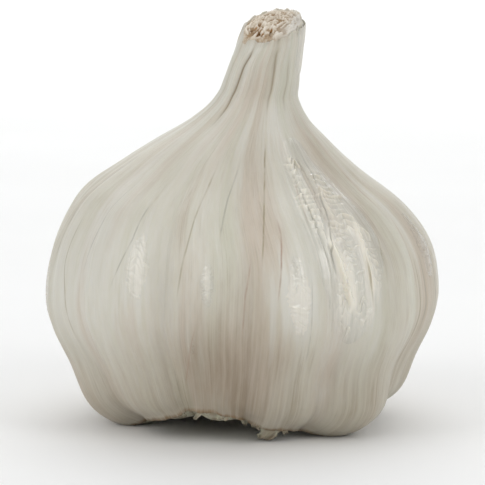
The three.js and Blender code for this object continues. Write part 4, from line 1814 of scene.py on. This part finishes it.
@dataclass(frozen=True)
class Scatter:
    """Small copies of one shape, scattered over a surface by Geometry Nodes."""

    name: str
    shape: Grain
    density: float  # to a square metre
    radius: float
    length: float
    tilt: float
    facing_up: float  # lowest upward part of the normal that still carries a copy
    seed: int
    sizes: tuple[float, float] = (0.45, 1.3)  # smallest and largest copy, to the shape

    def tree(self) -> NodeTree:
        """Build the tree.

        Returns:
            The tree, with its sizes as named inputs.
        """
        board, given, made = new_rule(self.name + "_rule", {
            "Density": (FLOAT, self.density), "Radius": (FLOAT, self.radius * MM),
            "Length": (FLOAT, self.length * MM), "Tilt": (FLOAT, self.tilt),
            "Seed": (WHOLE, self.seed),
        })
        tilt, seed = given.outputs["Tilt"], given.outputs["Seed"]
        up = board.channels(board.add("GeometryNodeInputNormal").outputs[0])[2]
        limit = {0: up, 1: self.facing_up}
        chosen = board.add("FunctionNodeCompare", limit, operation="GREATER_THAN")
        points = board.add("GeometryNodeDistributePointsOnFaces", {
            "Mesh": given.outputs["Geometry"], "Selection": chosen.outputs[0],
            "Density": given.outputs["Density"], "Seed": seed,
        })
        back = board.maths("MULTIPLY", tilt, -1.0)
        limits = {0: board.vector(back, back), 1: board.vector(tilt, tilt, FULL_TURN), "Seed": seed}
        turn = board.add("FunctionNodeRandomValue", limits, data_type="FLOAT_VECTOR")
        spin = board.add("FunctionNodeRotateRotation", {
            "Rotation": points.outputs["Rotation"], "Rotate By": turn.outputs["Value"],
        }, rotation_space="LOCAL")
        copies = board.add("GeometryNodeInstanceOnPoints", {
            "Points": points.outputs["Points"], "Instance": self._shape(board, given),
            "Rotation": spin.outputs[0],
            "Scale": board.drawn(*self.sizes, board.maths("ADD", seed, 1.0)),
        })
        dressed = board.dressed(copies, given.outputs["Material"])
        shaded = board.add("GeometryNodeSetShadeSmooth", {0: dressed})
        board.fill(made, {0: shaded.outputs[0]})
        return board.tree

    def _shape(self, board: NodeBoard, given: Node) -> Socket:
        """Make the shape that is copied.

        Args:
            board: the tree's board.
            given: its input node.

        Returns:
            The shape's geometry.
        """
        radius = given.outputs["Radius"]
        if self.shape is Grain.FIBRE:
            return board.add("GeometryNodeMeshCone", {
                "Vertices": 5, "Side Segments": 2,
                "Radius Top": board.maths("MULTIPLY", radius, 0.3), "Radius Bottom": radius,
                "Depth": given.outputs["Length"],
            }).outputs[0]
        ball = board.add("GeometryNodeMeshIcoSphere", {"Radius": radius, "Subdivisions": 2})
        place = board.add("GeometryNodeInputPosition").outputs[0]
        bumps = board.noise(place, 0.9 / (self.radius * MM))
        rough = board.add("ShaderNodeVectorMath", {0: place, "Scale": bumps}, operation="SCALE")
        sockets = {0: ball.outputs[0], "Offset": rough.outputs[0]}
        return board.add("GeometryNodeSetPosition", sockets).outputs[0]

    def over(self, ground: Object, material: Material) -> Object:
        """Scatter the copies over a piece's mesh.

        Args:
            ground: the piece that they stand on.
            material: their finish.

        Returns:
            The copies, as one plain mesh.
        """
        piece = bpy.data.objects.new(self.name, ground.data.copy())
        bpy.context.scene.collection.objects.link(piece)
        return settle(piece, self.tree(), {"Material": material, "Density": self.density,
                                           "Seed": self.seed})


@dataclass
class RootBase:
    """The hard root plate under the bulb and the trimmed roots that stand in it."""

    form: BulbForm
    seat: float = 4.2
    gap: float = 0.3
    rim: float = 8.2
    foot: float = 6.6
    thickness: float = 1.8
    rings: int = 22
    columns: int = 96
    roots: int = 44
    root_length: float = 2.4
    root_radius: float = 0.52
    root_depth: float = 1.3  # of the roots' start under the plate's top
    seed: int = 90

    def plate(self) -> Object:
        """Build the plate, a low rough cone with rings where the roots stood.

        Returns:
            The plate.
        """
        top = self.seat - self.gap
        angle = np.arange(self.columns) * 360 / self.columns
        rough = RoundNoise(self.seed, 48, 8)
        rings = []
        for share in np.linspace(0, 1, self.rings):
            radius = self.rim * share
            depth = self.thickness * float(ease(self.rim, self.foot * 0.9, radius))
            depth = depth + 0.15 * (1 - share)
            bumps = 0.16 * rough.at(angle, share) + 0.07 * np.sin(share * 26)
            fade = float(ease(1.0, 0.9, share)) * float(ease(0, 0.15, share))
            rings.append(self.form.on_axis(angle, radius + 0.02, top - depth - bumps * fade))
        rings.append(self.form.on_axis(angle, self.rim - 0.1, top))
        points = np.concatenate([*rings, [self.form.on_axis(0, 0, top)]])
        last = (len(rings) - 1) * self.columns
        faces = grid_faces(len(rings), self.columns, closed=True).tolist()
        faces += fan_faces(last, self.columns, len(points) - 1).tolist()
        faces.append(list(range(self.columns))[::-1])
        return new_piece("root_plate_disc", points, faces)

    def root_stubs(self, material: Material) -> Object:
        """Build the roots: bent, tapered stubs set on points of the plate by Geometry Nodes.

        Args:
            material: their finish.

        Returns:
            The roots, as one plain mesh.
        """
        draw = np.random.default_rng(self.seed)
        index = np.arange(self.roots)
        share = np.sqrt((index + 0.5) / self.roots)
        angle = index * GOLDEN_ANGLE + draw.uniform(-7, 7, self.roots)
        height = self.seat - self.gap - self.root_depth
        points = self.form.on_axis(angle, share * (self.foot - 0.5), height)
        piece = new_piece("root_stubs", points, [])
        values = {"Material": material, "Length": self.root_length * MM,
                  "Radius": self.root_radius * MM, "Seed": self.seed}
        return settle(piece, self._root_tree(), values)

    def _root_tree(self) -> NodeTree:
        """Build the tree that sets a root on each point.

        Returns:
            The tree, with its sizes as named inputs.
        """
        board, given, made = new_rule("root_stub_rule", {
            "Length": (FLOAT, 0.003), "Radius": (FLOAT, 0.0005), "Seed": (WHOLE, 1),
        })
        length, seed = given.outputs["Length"], given.outputs["Seed"]
        low = board.maths("MULTIPLY", length, -1.0)
        sway = board.maths("MULTIPLY", length, 0.16)
        line = board.add("GeometryNodeCurveQuadraticBezier", {
            "Resolution": 6, "Start": (0.0, 0.0, 0.0),
            "Middle": board.vector(sway, z=board.maths("MULTIPLY", low, 0.55)),
            "End": board.vector(board.maths("MULTIPLY", sway, 0.4), z=low),
        })
        section = board.add(
            "GeometryNodeCurvePrimitiveCircle", {"Resolution": 9, "Radius": given.outputs["Radius"]}
        )
        along = board.add("GeometryNodeSplineParameter").outputs["Factor"]
        tube = board.add("GeometryNodeCurveToMesh", {
            "Curve": line.outputs[0], "Profile Curve": section.outputs[0],
            "Scale": board.maths("MULTIPLY_ADD", along, -0.35, 1.0), "Fill Caps": True,
        })
        points = board.add("GeometryNodeMeshToPoints", {0: given.outputs["Geometry"]})
        copies = board.add("GeometryNodeInstanceOnPoints", {
            "Points": points.outputs[0], "Instance": tube.outputs[0],
            "Rotation": self._splay(board, seed),
            "Scale": board.drawn(0.7, 1.0, board.maths("ADD", seed, 3.0)),
        })
        board.fill(made, {0: board.dressed(copies, given.outputs["Material"])})
        return board.tree

    def _splay(self, board: NodeBoard, seed: Socket) -> Socket:
        """Turn each root about itself and lean it away from the middle of the plate.

        Args:
            board: the tree's board.
            seed: the seed's socket.

        Returns:
            The rotation.
        """
        x, y, _ = board.channels(board.add("GeometryNodeInputPosition").outputs[0])
        splay_x, splay_y = (board.maths("MULTIPLY", value, 38.0) for value in (x, y))
        turn = board.vector(z=board.drawn(0.0, FULL_TURN, seed))
        lean = board.vector(splay_y, board.maths("MULTIPLY", splay_x, -1.0))
        turned_by, leant_by = (
            board.add("FunctionNodeEulerToRotation", {0: euler}).outputs[0]
            for euler in (turn, lean)
        )
        sockets = {"Rotation": turned_by, "Rotate By": leant_by}
        return board.add("FunctionNodeRotateRotation", sockets, rotation_space="GLOBAL").outputs[0]


@dataclass(frozen=True)
class Tatter:
    """A torn tongue of skin that hangs from the underside."""

    angle: float
    radius: float
    width: float
    tip: float


@dataclass(frozen=True)
class Shred:
    """A shred that hangs on the outer skin's torn edge."""

    angle: float
    width: float
    length: float
    curl: float


@dataclass
class BaseTatters:
    """The torn tongues of skin round the root plate, thin, curled and ragged at the tip."""

    surface: SkinSurface
    tatters: tuple[Tatter, ...] = tuple(Tatter(*row) for row in (
        (-24, 14.6, 2.6, 1.9), (11, 15.4, 4.2, 0.45), (-2, 13.2, 2.0, 1.4), (97, 13.6, 2.8, 0.9),
        (183, 12.8, 3.2, 0.6), (251, 13.4, 2.4, 0.8), (-12, 14.2, 1.4, 2.3),
        (20, 14.6, 1.2, 1.6), (-34, 13.4, 1.6, 2.2),
    ))
    shreds: tuple[Shred, ...] = tuple(Shred(*row) for row in (
        (-27, 2.2, 1.2, 0.4), (-20, 1.6, 0.8, 0.3), (-14.5, 1.3, 2.2, 1.0), (-6, 2.4, 0.9, 0.4),
        (1.5, 1.7, 1.4, 0.9), (6.5, 1.9, 1.0, 0.6), (13.5, 3.4, 2.5, 1.4), (19.5, 1.5, 1.0, 0.6),
        (27, 2.2, 0.8, 0.3),
    ))
    more_shreds: int = 40
    least_clearance: float = 1.0  # of the torn edge above the ground, for a further shred
    root_height: float = 5.2
    back: float = 1.4
    thickness: float = 0.14
    curl: float = 0.5
    mark_arc: float = 11.0  # the place whose marks all the tatters wear
    rows: int = 16
    columns: int = 13
    seed: int = 44

    def build(self) -> Object:
        """Build all the tatters as one mesh of closed sheets.

        Returns:
            The tatters and shreds.
        """
        draw = np.random.default_rng(self.seed)
        points, faces, marks = [], [], []
        cells = 2 * self.rows * self.columns
        closed = sheet_faces(self.rows, self.columns)[:, ::-1]
        sheets = [self._sheet(tatter, draw) for tatter in self.tatters]
        sheets += [self._shred_sheet(shred, draw) for shred in (*self.shreds, *self._more(draw))]
        for number, (outer, inner, angle) in enumerate(sheets):
            faces += (closed + number * cells).tolist()
            points += [outer.reshape(-1, 3), inner.reshape(-1, 3)]
            tip = np.linspace(0, 1, self.rows)[:, None] ** 3
            # The tatters are browner towards their tips.
            browning = np.broadcast_to(0.15 + 0.5 * tip + draw.uniform(0, 0.2), angle.shape)
            layers = self.surface.layers(angle, np.full_like(angle, self.mark_arc), browning=browning)
            layers["zones"][..., 0] = UNDER_ZONE
            marks += [layers, layers]
        joined = {key: np.concatenate([m[key].reshape(-1, 3) for m in marks]) for key in marks[0]}
        return new_piece("base_tatters", np.concatenate(points), faces, joined)

    def _more(self, draw: np.random.Generator) -> list[Shred]:
        """Draw the shreds of the sides and the back, clear of the feet that the bulb rests on.

        Args:
            draw: the seeded generator.

        Returns:
            The shreds.
        """
        limits = ((36, 326), (1.0, 2.8), (0.5, 1.5), (0.1, 0.5))
        shreds = [Shred(*(draw.uniform(*pair) for pair in limits)) for _ in range(self.more_shreds)]
        angle = np.array([shred.angle for shred in shreds])
        height = self.surface.form.skin(angle, self.surface.edge_arc(angle))[:, 2]
        return [shred for shred, clear in zip(shreds, height) if clear > self.least_clearance]

    def _places(self) -> tuple[Array, Array]:
        """Give each point's place down a sheet, from 0 to 1, and across it, from -1 to 1."""
        down, across = np.linspace(0, 1, self.rows), np.linspace(-1, 1, self.columns)
        return tuple(np.meshgrid(down, across, indexing="ij"))

    def _shred_sheet(self, shred: Shred, draw: np.random.Generator) -> Sheet:
        """Make one shred's outer and inner points and their angles.

        Args:
            shred: the shred.
            draw: the seeded generator.

        Returns:
            The outer points, the inner points and the angles.
        """
        t, u = self._places()
        edge = float(self.surface.edge_arc(np.array([shred.angle]))[0])
        radius = float(self.surface.form.radius_at(edge))
        width = (1 - 0.4 * t**2 - 0.2 * np.abs(np.sin(t * 7 + shred.angle))) * shred.width / 2
        angle = shred.angle + u * width / radius / DEGREE + draw.uniform(-3, 3) * t**2
        rag = np.abs(draw.normal(0, 0.25, self.columns))[None, :] * t**2
        arc = np.maximum(edge + 0.9 - (shred.length + 0.9) * (t - rag) - 0.3 * u**2 * t, 1)
        offset = 0.12 + shred.curl * t**1.6 + 0.12 * (u**2) * t
        outer = self.surface.points(angle, arc, offset)
        return outer, self.surface.points(angle, arc, offset - self.thickness * 0.7), angle

    def _sheet(self, tatter: Tatter, draw: np.random.Generator) -> Sheet:
        """Make one tatter's outer and inner points and their angles.

        Args:
            tatter: the tatter.
            draw: the seeded generator.

        Returns:
            The outer points, the inner points and the angles.
        """
        t, u = self._places()
        edge = 1 - 0.45 * t**2 - 0.12 * np.abs(np.sin(t * 9 + tatter.angle))
        half = tatter.width / 2 * edge / tatter.radius / DEGREE
        rag = draw.normal(0, 0.16, self.columns)[None, :] * t**2
        height = self.root_height + (tatter.tip - self.root_height) * t + np.abs(rag)
        height = height + 0.9 * u**2 * t**3
        radius = tatter.radius - self.back * (1 - t) ** 1.5 - self.curl * (1 - u**2) * t
        radius = radius + 0.12 * np.sin(u * 5 + tatter.angle) * t
        angle = tatter.angle + half * u + 5 * t**2
        on_axis = self.surface.form.on_axis
        inner = on_axis(angle, radius - self.thickness, height)
        return on_axis(angle, radius, height), inner, angle


def direction(azimuth: float, elevation: float) -> Vector:
    """Give the unit vector from the bulb towards an azimuth and an elevation in degrees."""
    a, e = azimuth * DEGREE, elevation * DEGREE
    return Vector((math.sin(a) * math.cos(e), -math.cos(a) * math.cos(e), math.sin(e)))


def stand_off(name: str, data: bpy.types.ID, aim: Triple, away: Vector, distance: float) -> Object:
    """Put a light or a camera at a distance from what it is turned to.

    Args:
        name: the object's name.
        data: the light or the camera.
        aim: the place that it looks at.
        away: unit vector from there to the object.
        distance: how far off it stands.

    Returns:
        The object, linked to the scene.
    """
    thing = bpy.data.objects.new(name, data)
    thing.location = Vector(aim) + away * distance
    thing.rotation_euler = (-away).to_track_quat("-Z", "Y").to_euler()
    bpy.context.scene.collection.objects.link(thing)
    return thing


@dataclass(frozen=True)
class Softbox:
    """A soft area light, unseen by the camera."""

    name: str
    azimuth: float
    elevation: float
    distance: float
    width: float
    height: float
    watts: float
    aim: Triple = (0, 0, 0.03)

    def build(self) -> None:
        """Hang the light, turned to its aim."""
        light = bpy.data.lights.new(self.name, "AREA")
        light.shape = "RECTANGLE"
        light.size, light.size_y = self.width, self.height
        light.energy = self.watts
        away = direction(self.azimuth, self.elevation)
        stand_off(self.name, light, self.aim, away, self.distance).visible_camera = False


@dataclass
class Studio:
    """The pale floor and backdrop, the soft light and the camera, in metres."""

    floor_radius: float = 1.5
    wall_radius: float = 2.3
    wall_height: float = 1.4
    floor_rings: int = 8
    bend_rings: int = 14
    columns: int = 96
    floor_colour: Colour = paint(240, 240, 239)
    world_colour: Colour = paint(250, 251, 253)
    world_strength: float = 0.66
    aim: Triple = (0.00008, -0.00028, 0.0290)
    camera_distance: float = 0.45
    camera_elevation: float = 8
    lens: float = 203.8
    softboxes: tuple[Softbox, ...] = (
        Softbox("overhead_softbox", 160, 74, 0.9, 0.8, 0.8, 1.2),
        Softbox("left_softbox", -58, 30, 1.0, 0.5, 0.8, 2.2),
        Softbox("right_softbox", 48, 32, 1.0, 0.3, 0.6, 1.9),
        Softbox("backdrop_softbox", 180, 80, 1.0, 1.6, 0.8, 9, aim=(0, 1.15, 0)),
    )

    def build(self) -> None:
        """Build the stage, hang the lights and set up the camera."""
        self._backdrop()
        self._world()
        for softbox in self.softboxes:
            softbox.build()
        self._camera()
        bpy.context.scene.view_settings.view_transform = "Standard"

    def _backdrop(self) -> None:
        """Build the floor with its round, rising backdrop."""
        bend = self.wall_radius - self.floor_radius
        radii = np.linspace(0.05, self.floor_radius, self.floor_rings)
        profile = [(radius, 0.0) for radius in radii]
        for turn in np.linspace(0, math.pi / 2, self.bend_rings)[1:]:
            profile.append((self.floor_radius + bend * math.sin(turn), bend * (1 - math.cos(turn))))
        profile.append((self.wall_radius, self.wall_height))
        a = np.arange(self.columns) * 2 * np.pi / self.columns
        ring = np.stack([np.sin(a), -np.cos(a), np.zeros_like(a)], axis=-1)
        rows = [radius * ring + (0, 0, height) for radius, height in profile]
        points = np.concatenate([*rows, np.zeros((1, 3))]) / MM
        faces = grid_faces(len(rows), self.columns, closed=True)[:, ::-1].tolist()
        faces += fan_faces(0, self.columns, len(points) - 1).tolist()
        floor = new_piece("floor_and_backdrop", points, faces)
        material, board, shader = new_material("pale_floor")
        mottle = board.spread(board.noise(board.place(), 9.0), 0.3, 0.7)
        lighter = tuple(min(1.0, value * 1.02) for value in self.floor_colour)
        colour = board.mix(mottle, self.floor_colour, lighter)
        board.fill(shader, {"Base Color": colour, "Roughness": 0.8})
        floor.data.materials.append(material)

    def _world(self) -> None:
        """Light the scene evenly from all round."""
        world = bpy.data.worlds.new("studio_world")
        world.use_nodes = True
        board = NodeBoard(world.node_tree)
        sky = board.add("ShaderNodeBackground", {0: self.world_colour, 1: self.world_strength})
        board.add("ShaderNodeOutputWorld", {0: sky.outputs[0]})
        bpy.context.scene.world = world

    def _camera(self) -> None:
        """Set the camera at the low front view."""
        data = bpy.data.cameras.new("front_camera")
        data.lens = self.lens
        data.sensor_width = 36
        data.clip_start, data.clip_end = 0.01, 10
        away = direction(0, self.camera_elevation)
        camera = stand_off("front_camera", data, self.aim, away, self.camera_distance)
        bpy.context.scene.camera = camera


LOOSE_SKINS = (
    LooseSkin(
        "crinkled_film",
        left=((25, 48), (22.5, 42), (21.5, 36), (22, 30), (25, 22), (29, 16)),
        right=((46, 48), (48, 41), (49, 36), (47.5, 31), (44, 25), (40, 19), (36, 16)),
        low=15.5, high=48, rows=330, columns=130, seed=51,
        crinkles=(
            Crinkle(28.8, 4.2, 34, 44.5, 1.35, 0.7, 0.02),
            Crinkle(38.5, 4.6, 33.5, 42, 1.2, 0.6, 0.16),
            Crinkle(35.2, 3, 28, 35, 1.2, 0.42, -0.08),
            Crinkle(42.0, 2.6, 25, 34.5, 1.4, 0.4, 0.2),
            Crinkle(31.2, 2.2, 18.5, 30, 1.6, 0.4, 0.1),
            Crinkle(36.4, 2.6, 19, 27, 1.5, 0.28, -0.1),
        ),
        folds=(
            Fold(0.75, 0.7, ((29, 33.5), (30.3, 31.2), (30.4, 28.5), (31.7, 25.4), (32.8, 22.5))),
            Fold(0.45, 1.3, ((30.8, 30.5), (31.4, 28.2), (32.3, 25), (33, 22.5))),
            Fold(0.55, 0.55, ((41, 35.5), (40, 33), (39.2, 29.4), (39.4, 24.5))),
            Fold(-0.3, 0.35, ((33.6, 44), (33.2, 40), (31.8, 36.5), (29.4, 33), (28.6, 28))),
            Fold(0.25, 0.6, ((36.5, 42), (35, 38), (34.5, 34))),
        ),
    ),
    LooseSkin(
        "back_film",
        left=((196, 44), (193, 38), (194, 30), (199, 22), (204, 14)),
        right=((208, 44), (214, 38), (219, 30), (218, 22), (212, 14)),
        low=14, high=44, seed=53,
        crinkles=(
            Crinkle(203, 5, 28, 39, 1.5, 0.35, 0.1), Crinkle(211, 4, 22, 33, 1.4, 0.25, -0.2),
        ),
        folds=(Fold(0.5, 0.6, ((206, 35), (208, 29), (207, 23))),),
    ),
    LooseSkin(
        "side_film",
        left=((123, 46), (118, 39), (118, 30), (123, 22), (128, 15)),
        right=((132, 46), (137, 39), (140, 30), (138, 22), (133, 15)),
        low=15, high=46, seed=54,
        crinkles=(
            Crinkle(125, 4, 30, 42, 1.5, 0.35, -0.1), Crinkle(133, 4, 24, 36, 1.3, 0.25, 0.2),
        ),
        folds=(Fold(0.5, 0.6, ((130, 34), (129, 28), (130, 22))),),
    ),
    LooseSkin(
        "neck_film",
        left=((52, 65), (56, 60), (60, 56)),
        right=((108, 65), (104, 60), (96, 56)),
        low=55.5, high=64.5, rows=60, columns=50, seed=55,
        seat=0.22, light=1.2, top_end=EdgeStyle.TORN,
    ),
)
FLAKES = (  # angle, height, half width in degrees and half height
    (-31, 29, 4.5, 5.5), (-9.2, 27, 2.6, 5.5), (-13.5, 17, 2.0, 6), (16.5, 25, 4.4, 7),
    (75, 30, 4, 6), (150, 26, 4, 7), (245, 30, 4.4, 6), (284, 22, 3, 6),
)


def flake(number: int, angle: float, height: float, half_angle: float,
          half_height: float) -> LooseSkin:
    """Describe a small crumpled flake of thin skin round a place.

    Args:
        number: the flake's number, from 1.
        angle: angle of its middle.
        height: height of its middle.
        half_angle: half its width, in degrees.
        half_height: half its height.

    Returns:
        The flake, not built yet.
    """
    low, high = height - half_height, height + half_height
    left, right = (
        tuple((angle + half_angle * share, place)
              for share, place in zip(shares, (high, height, low)))
        for shares in ((-0.3, -1, -0.4), (0.3, 1, 0.5))
    )
    return LooseSkin(
        f"film_flake_{number}", left, right, low, high,
        seed=60 + number, rows=110, columns=44, blend=1.6,
        crinkles=(Crinkle(angle, half_angle, low, high, 1.3, 0.2, 0.3),),
    )


@dataclass
class GarlicBulb:
    """The garlic bulb: its skins, its cut neck and its rooted base."""

    form: BulbForm = field(default_factory=BulbForm)
    skin_finish: SkinFinish = SkinFinish()
    # The film's near-white pale tone also colours the painted highlights on its creases and folds.
    film_finish: SkinFinish = SkinFinish(
        name="glossy_film", pale=paint(240, 234, 220), roughness=(0.14, 0.3), coat=0.4
    )
    crown_finish: CrownFinish = CrownFinish()
    sheath_finish: DryFinish = DryFinish(
        "cut_sheath", paint(214, 202, 178), paint(198, 176, 150), paint(150, 118, 78), 900, 0.8
    )
    plate_finish: DryFinish = DryFinish(
        "root_plate_wood", paint(162, 144, 112), paint(132, 112, 82), paint(88, 68, 46), 700, 0.9
    )
    root_finish: DryFinish = DryFinish(
        "dry_roots", paint(206, 192, 160), paint(182, 162, 128), paint(122, 100, 70), 1200, 0.85
    )
    soil_finish: DryFinish = DryFinish(
        "dry_soil", paint(92, 76, 58), paint(70, 56, 42), paint(44, 34, 26), 2000, 0.95
    )
    fibres: Scatter = Scatter(
        "cut_fibres", Grain.FIBRE, 2.4e6, radius=0.06, length=0.3, tilt=1.5, facing_up=0.55, seed=7
    )
    crumbs: Scatter = Scatter(
        "soil_crumbs", Grain.CRUMB, 1.1e6,
        radius=0.22, length=0.2, tilt=0.5, facing_up=-1.1, seed=12,
    )

    def __post_init__(self) -> None:
        """Make the skin's surface and the shared effects."""
        self.surface = SkinSurface(self.form)
        self.effects = SharedEffects()

    def build(self) -> None:
        """Build every piece."""
        self._skins()
        self._neck()
        self._base()

    def _skins(self) -> None:
        """Build the whole skin, the patches of loose skin on it and the tatters under it."""
        plain = self.skin_finish.material(self.effects)
        glossy = self.film_finish.material(self.effects)
        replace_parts(dress(OuterSkin(self.surface).build(), plain), "bulb")
        flakes = [flake(number, *sizes) for number, sizes in enumerate(FLAKES, 1)]
        for patch in (*LOOSE_SKINS, *flakes):
            dress(patch.build(self.surface), glossy)
        dress(BaseTatters(self.surface).build(), plain)

    def _neck(self) -> None:
        """Build the cut neck."""
        sheath = self.sheath_finish.material(self.effects)
        layers = NeckLayers(self.form).build()
        crown = CutCrown(self.form).build()
        fibres = self.fibres.over(crown, sheath)
        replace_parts(dress(layers, sheath), "neck_sheath_ends")
        dress(crown, self.crown_finish.material(self.effects))
        dress(fibres, sheath)

    def _base(self) -> None:
        """Build the root plate, the roots and the soil between them."""
        plate_wood, dry_root, soil = (
            finish.material(self.effects)
            for finish in (self.plate_finish, self.root_finish, self.soil_finish)
        )
        base = RootBase(self.form)
        plate = base.plate()
        crumbs = self.crumbs.over(plate, soil)
        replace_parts(dress(plate, plate_wood), "root_plate")
        dress(base.root_stubs(dry_root), dry_root)
        dress(crumbs, soil)


def main() -> None:
    """Build the stage and the bulb."""
    logging.basicConfig(level=logging.INFO, format="%(name)s: %(message)s")
    Studio().build()
    GarlicBulb().build()


if __name__ == "__main__":
    main()
